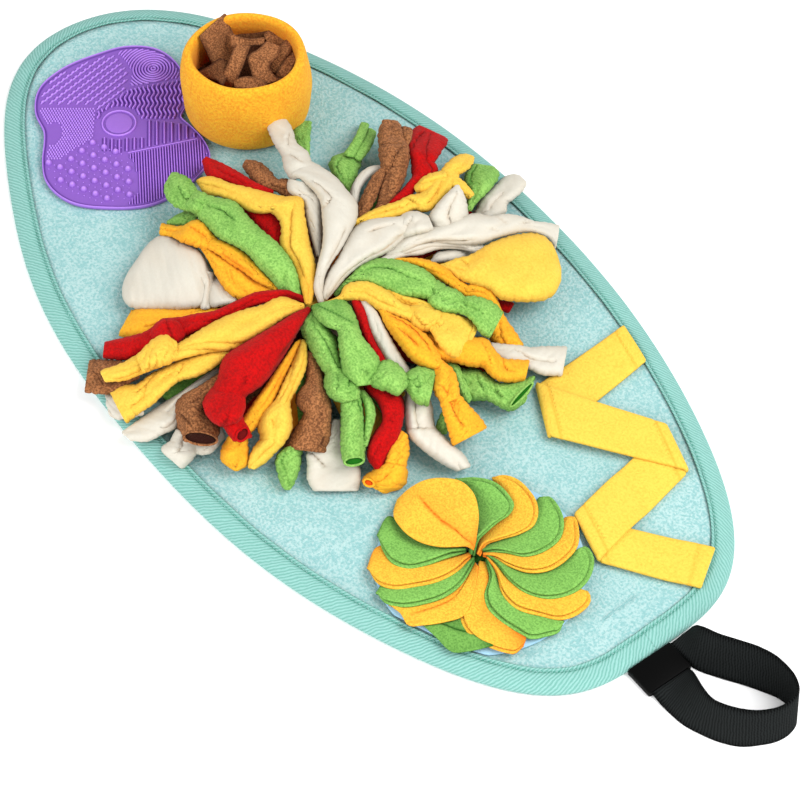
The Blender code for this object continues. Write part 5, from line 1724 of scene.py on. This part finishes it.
def ribbon(window, table, arch, creases, thick, number, folds):
    """A pompom strip between two edges as the camera sees them. The crown lies between the edges, which
    drop by a share of the width along a flattened half ellipse. Each crease is a path of shares along and
    across, in percent: a soft groove, with the cloth on its first side lying a little over the other. The
    tone paints shade in the dips, towards the edges, along each crease, beyond its lip and near the root."""
    columns = STRIP_COLUMNS
    one, two = seen(window, table[:, :2]), seen(window, table[:, 2:4])
    middle = 0.5 * (one + two)
    rows = int(np.clip(travelled(middle)[-1] / STRIP_STEP, *STRIP_ROWS))
    run = eased(np.column_stack((middle, 0 * middle[:, 0], one, two, table[:, 4])), rows)[:, 3:]
    one, two, crown = run[:, :2], run[:, 2:4], run[:, 4:5]
    wide = np.linalg.norm(two - one, axis=1)[:, None]
    inward = (two - one) / np.maximum(wide, 1e-6) * np.minimum(0.6 * thick / MM, 0.3 * wide)
    one, two = one + inward, two - inward
    share = np.linspace(0, 1, columns)[None, :]
    along = np.linspace(0, 1, rows)[:, None]
    if table[-1, 4] < LOW_TIP and window in (WINDOW_HIGH, WINDOW_TALL):
        crown = crown * (1 - 0.35 * np.clip((along - 0.5) / 0.5, 0, 1) ** 1.5)
    bow = np.sqrt(np.clip(1 - np.abs(2 * share - 1) ** SECTION_POWER, 0, 1))
    high = crown - arch * wide * (1 - bow) + 0.11 * math.sin(2.4 * number + 1) * wide * (share - 0.5)
    steps = travelled(0.5 * (one + two))[:, None]
    outward = (two - one) / np.maximum(wide, 1e-6) * np.minimum(0.45, 0.03 * wide) * min(1.0, 2.2 * folds)
    one = one + outward * (np.sin(steps / 1.15 + 3.1 * number) + 0.7 * np.sin(steps / 0.78 + 1.3 * number))
    two = two + outward * (np.sin(steps / 1.25 + 2.3 * number) + 0.7 * np.sin(steps / 0.81 + 4.7 * number))
    swell = np.sin(steps / 9.0 + 2.1 * number + 3 * share) * np.sin(5.5 * share + 0.9 * number + steps / 21.0)
    wrinkle = np.sin(steps / 2.1 + 7.0 * share + number) * np.sin(steps / 5.3 + 9.0 * share + 2 * number)
    fold = np.sin(2 * np.pi * (1.5 * share + 0.2 * np.sin(steps / 13.0 + 1.7 * number)) + number)
    nubs = np.sin(steps / 0.85 + 5 * share + 2 * number) * np.sin(27 * share + steps / 2.3 + number)
    relief = 0.8 * swell + 0.4 * wrinkle + 1.2 * max(folds - 0.22, 0.0) * nubs + folds * fold
    high = high + np.clip(wide / 22, 0.2, 1) * bow * relief
    # Painted shade in the swells' dips, towards both edges and in the troughs of the folds.
    tone = 0.12 * np.clip(-swell, 0, 1) + 0.16 * (1 - bow) + 0.2 * folds * np.clip(-fold, 0, 1)
    for crease in creases:
        path = np.array(crease).reshape(-1, 2) / 100
        at = np.interp(along, path[:, 0], path[:, 1])
        fade = np.clip((along - path[0, 0]) / CREASE_FADE + 0.3, 0, 1)
        fade = fade * np.clip((path[-1, 0] - along) / CREASE_FADE + 0.3, 0, 1)
        slope = np.gradient(at[:, 0], steps[:, 0])[:, None] * wide
        away = (share - at) * wide / np.sqrt(1 + slope**2)
        line = np.exp(-((away / 1.0) ** 2)) * fade
        lip = np.exp(-np.abs(away) / 4.5) * fade * np.where(away < 0, 1.0, -0.7)
        high = high - CREASE_DEPTH * line + CREASE_LIP * lip * np.clip(np.abs(away) / 1.1, 0, 1)
        # Painted shade along each crease and on its lower side beyond the lip.
        tone = tone + 0.85 * line + 0.25 * fade * np.exp(-np.clip(away, 0, None) / 3.0) * (away > 0)
    place = (1 - share)[..., None] * one[:, None] + share[..., None] * two[:, None]
    middle = at_frame(place[..., 0], place[..., 1], np.maximum(high * MM, FLOOR_OF_STRANDS))
    # Painted shade near the root of the pompom.
    near_root = np.clip(1 - np.hypot(*(middle[:, columns // 2, :2] - ROOT).T) / 0.026, 0, 1)[:, None]
    tone = np.clip(tone + 0.5 * near_root, 0, 1)
    half = rows // 2
    across = middle[half, -5] - middle[half, 4]
    if np.cross(middle[half + 2, columns // 2] - middle[half - 2, columns // 2], across)[2] < 0:
        middle, tone = middle[:, ::-1], tone[:, ::-1]
    return thick_sheet(middle, thick, tone, under=0.45)


def mouth(window, x, y, half_along, half_across, turned, high):
    """The open end of a rolled strip as the camera sees it: a rounded rim, painted darker on its lower side,
    round a plug in painted shade that stands for the shadow inside the roll.
    """
    turn = np.linspace(0, 2 * np.pi, 30, endpoint=False)
    cosine, sine = math.cos(math.radians(turned)), math.sin(math.radians(turned))

    def around(out_along, out_across, height):
        """An oval of points at a height, each half size times its own share."""
        along, across = out_along * half_along * np.cos(turn), out_across * half_across * np.sin(turn)
        places = (x + along * cosine - across * sine, y + along * sine + across * cosine)
        places = seen(window, np.column_stack(places))
        return at_frame(places[:, 0], places[:, 1], height * MM)

    sides = np.linspace(0, 2 * np.pi, 8, endpoint=False)
    rings = []
    for side in sides:
        out = 1 + MOUTH_RIM * window[2] * math.cos(side) / np.array((half_along, half_across))
        rings.append(around(*out, high + 1.2 * math.sin(side)))
    ring = surface(np.array(rings), grid_faces(8, 30, round_rows=True, round_columns=True))
    # Painted shade on the rim's lower side.
    ring["crease"] = np.repeat(np.clip(0.25 - 0.25 * np.sin(sides), 0, 1), 30)
    plug = ((0.2, 0.0), (1.0, 0.0), (1.0, 0.8), (0.2, 0.8))
    hollow = loops_surface(np.array([around(share, share, high - 0.2 - low) for share, low in plug]))
    # The plug is all in painted shade, standing for the shadow inside the roll.
    hollow["crease"] = np.ones(len(hollow["points"]))
    return [ring, hollow]


class SNUFFLE_OT_pompom(bpy.types.Operator):
    """Pompom of fleece strips that spread from one root, most of them knotted"""

    bl_idname = "snuffle.pompom"
    bl_label = "Pompom"

    def execute(self, context):
        thick = settings().fleece
        made = {name: [] for name in UNDER_DYES}
        tips = []
        strips = [(window, *strip) for window, table in RIBBONS for strip in table]
        for number, (window, name, arch, creases, rows) in enumerate(strips):
            table = np.reshape(rows, (-1, 5)).astype(float)
            made[name].append(ribbon(window, table, arch, creases, thick, number, FOLD_DEPTH[name]))
            last = table[-1, :4].reshape(2, 2).mean(axis=0)
            end = seen(window, last)
            tips.append(at_frame(end[0], end[1], 20 * MM)[:2] - ROOT)
        for name, window, *rest in MOUTHS:
            made[name] += mouth(window, *rest)
        tips = np.array(tips)
        bearing, reach = np.arctan2(tips[:, 1], tips[:, 0]), np.hypot(*tips.T)
        order = np.argsort(bearing)
        bearing, reach = bearing[order], reach[order]
        for number, turn in enumerate(np.linspace(0, 2 * np.pi, UNDER_COUNT, endpoint=False)):
            far = 0.72 * np.interp(turn, bearing, reach, period=2 * np.pi)
            far = far * (1 + 0.12 * math.sin(5.0 * number))
            share = np.linspace(0, 1, 40)
            swing = turn + 0.18 * np.sin(2.4 * number) * share
            crown = (24 + 4 * math.sin(3.0 * number)) * MM * (1 - share**2) + 14 * MM * share**2
            crown = crown + 5 * MM * np.sin(np.pi * share)
            distance = 6 * MM + (far - 6 * MM) * share
            outward = np.column_stack((np.cos(swing), np.sin(swing)))
            path = level(ROOT + distance[:, None] * outward, crown)
            width = (10 + 16 * share) * MM
            middle = band(path, width, 130 - 60 * share)
            middle[..., 2] = np.maximum(middle[..., 2], FLOOR_OF_STRANDS)
            # Painted shade: the hidden strips are deep in shade near the root and lighter further out.
            tone = np.clip(0.9 - 1.1 * share, 0.2, 0.7)
            made[UNDER_DYES[number % 6]].append(
                thick_sheet(middle, thick, np.broadcast_to(tone[:, None], middle.shape[:2]), under=0.3))
        # The root lump carries the light painted shade of every lump.
        centre = np.array((*ROOT, 24 * MM))
        made["yellow"].append(lump(centre, MM * np.array(((0, 0, 17), (15, 0, 0), (0, 15, 0)))))
        for name, surfaces in made.items():
            finish = fleece(name + "_fleece", name, *STRIP_PILE[name])
            cloth = piece("pompom_" + name, surfaces, finish, ("pompom",))
        return {"FINISHED"}


# Panel and registration


class SNUFFLE_PT_panel(bpy.types.Panel):
    """Colours, sizes and a button for each piece"""

    bl_label = "Snuffle mat"
    bl_idname = "SNUFFLE_PT_panel"
    bl_space_type = "VIEW_3D"
    bl_region_type = "UI"
    bl_category = "Snuffle mat"

    def draw(self, context):
        column = self.layout.column()
        for made in OPERATORS:
            column.operator(made.bl_idname)
        for kept in (context.scene.snuffle_sizes, context.scene.snuffle_colours):
            box = self.layout.box()
            for name in kept.__annotations__:
                box.prop(kept, name)


OPERATORS = (
    SNUFFLE_OT_stage,
    SNUFFLE_OT_mat_panel,
    SNUFFLE_OT_binding,
    SNUFFLE_OT_lick_pad,
    SNUFFLE_OT_cup,
    SNUFFLE_OT_cup_strips,
    SNUFFLE_OT_pompom,
    SNUFFLE_OT_zigzag_ribbon,
    SNUFFLE_OT_flower,
    SNUFFLE_OT_strap,
    SNUFFLE_OT_keeper,
)
CLASSES = (SnuffleColours, SnuffleSizes, *OPERATORS, SNUFFLE_PT_panel)


def register():
    for made in CLASSES:
        bpy.utils.register_class(made)
    bpy.types.Scene.snuffle_colours = PointerProperty(type=SnuffleColours)
    bpy.types.Scene.snuffle_sizes = PointerProperty(type=SnuffleSizes)


def unregister():
    del bpy.types.Scene.snuffle_sizes
    del bpy.types.Scene.snuffle_colours
    for made in reversed(CLASSES):
        bpy.utils.unregister_class(made)


def main():
    register()
    bpy.ops.snuffle.stage()
    bpy.ops.snuffle.mat_panel()
    bpy.ops.snuffle.binding()
    bpy.ops.snuffle.lick_pad()
    bpy.ops.snuffle.cup()
    bpy.ops.snuffle.cup_strips()
    bpy.ops.snuffle.pompom()
    bpy.ops.snuffle.zigzag_ribbon()
    bpy.ops.snuffle.flower()
    bpy.ops.snuffle.strap()
    bpy.ops.snuffle.keeper()


if __name__ == "__main__":
    main()
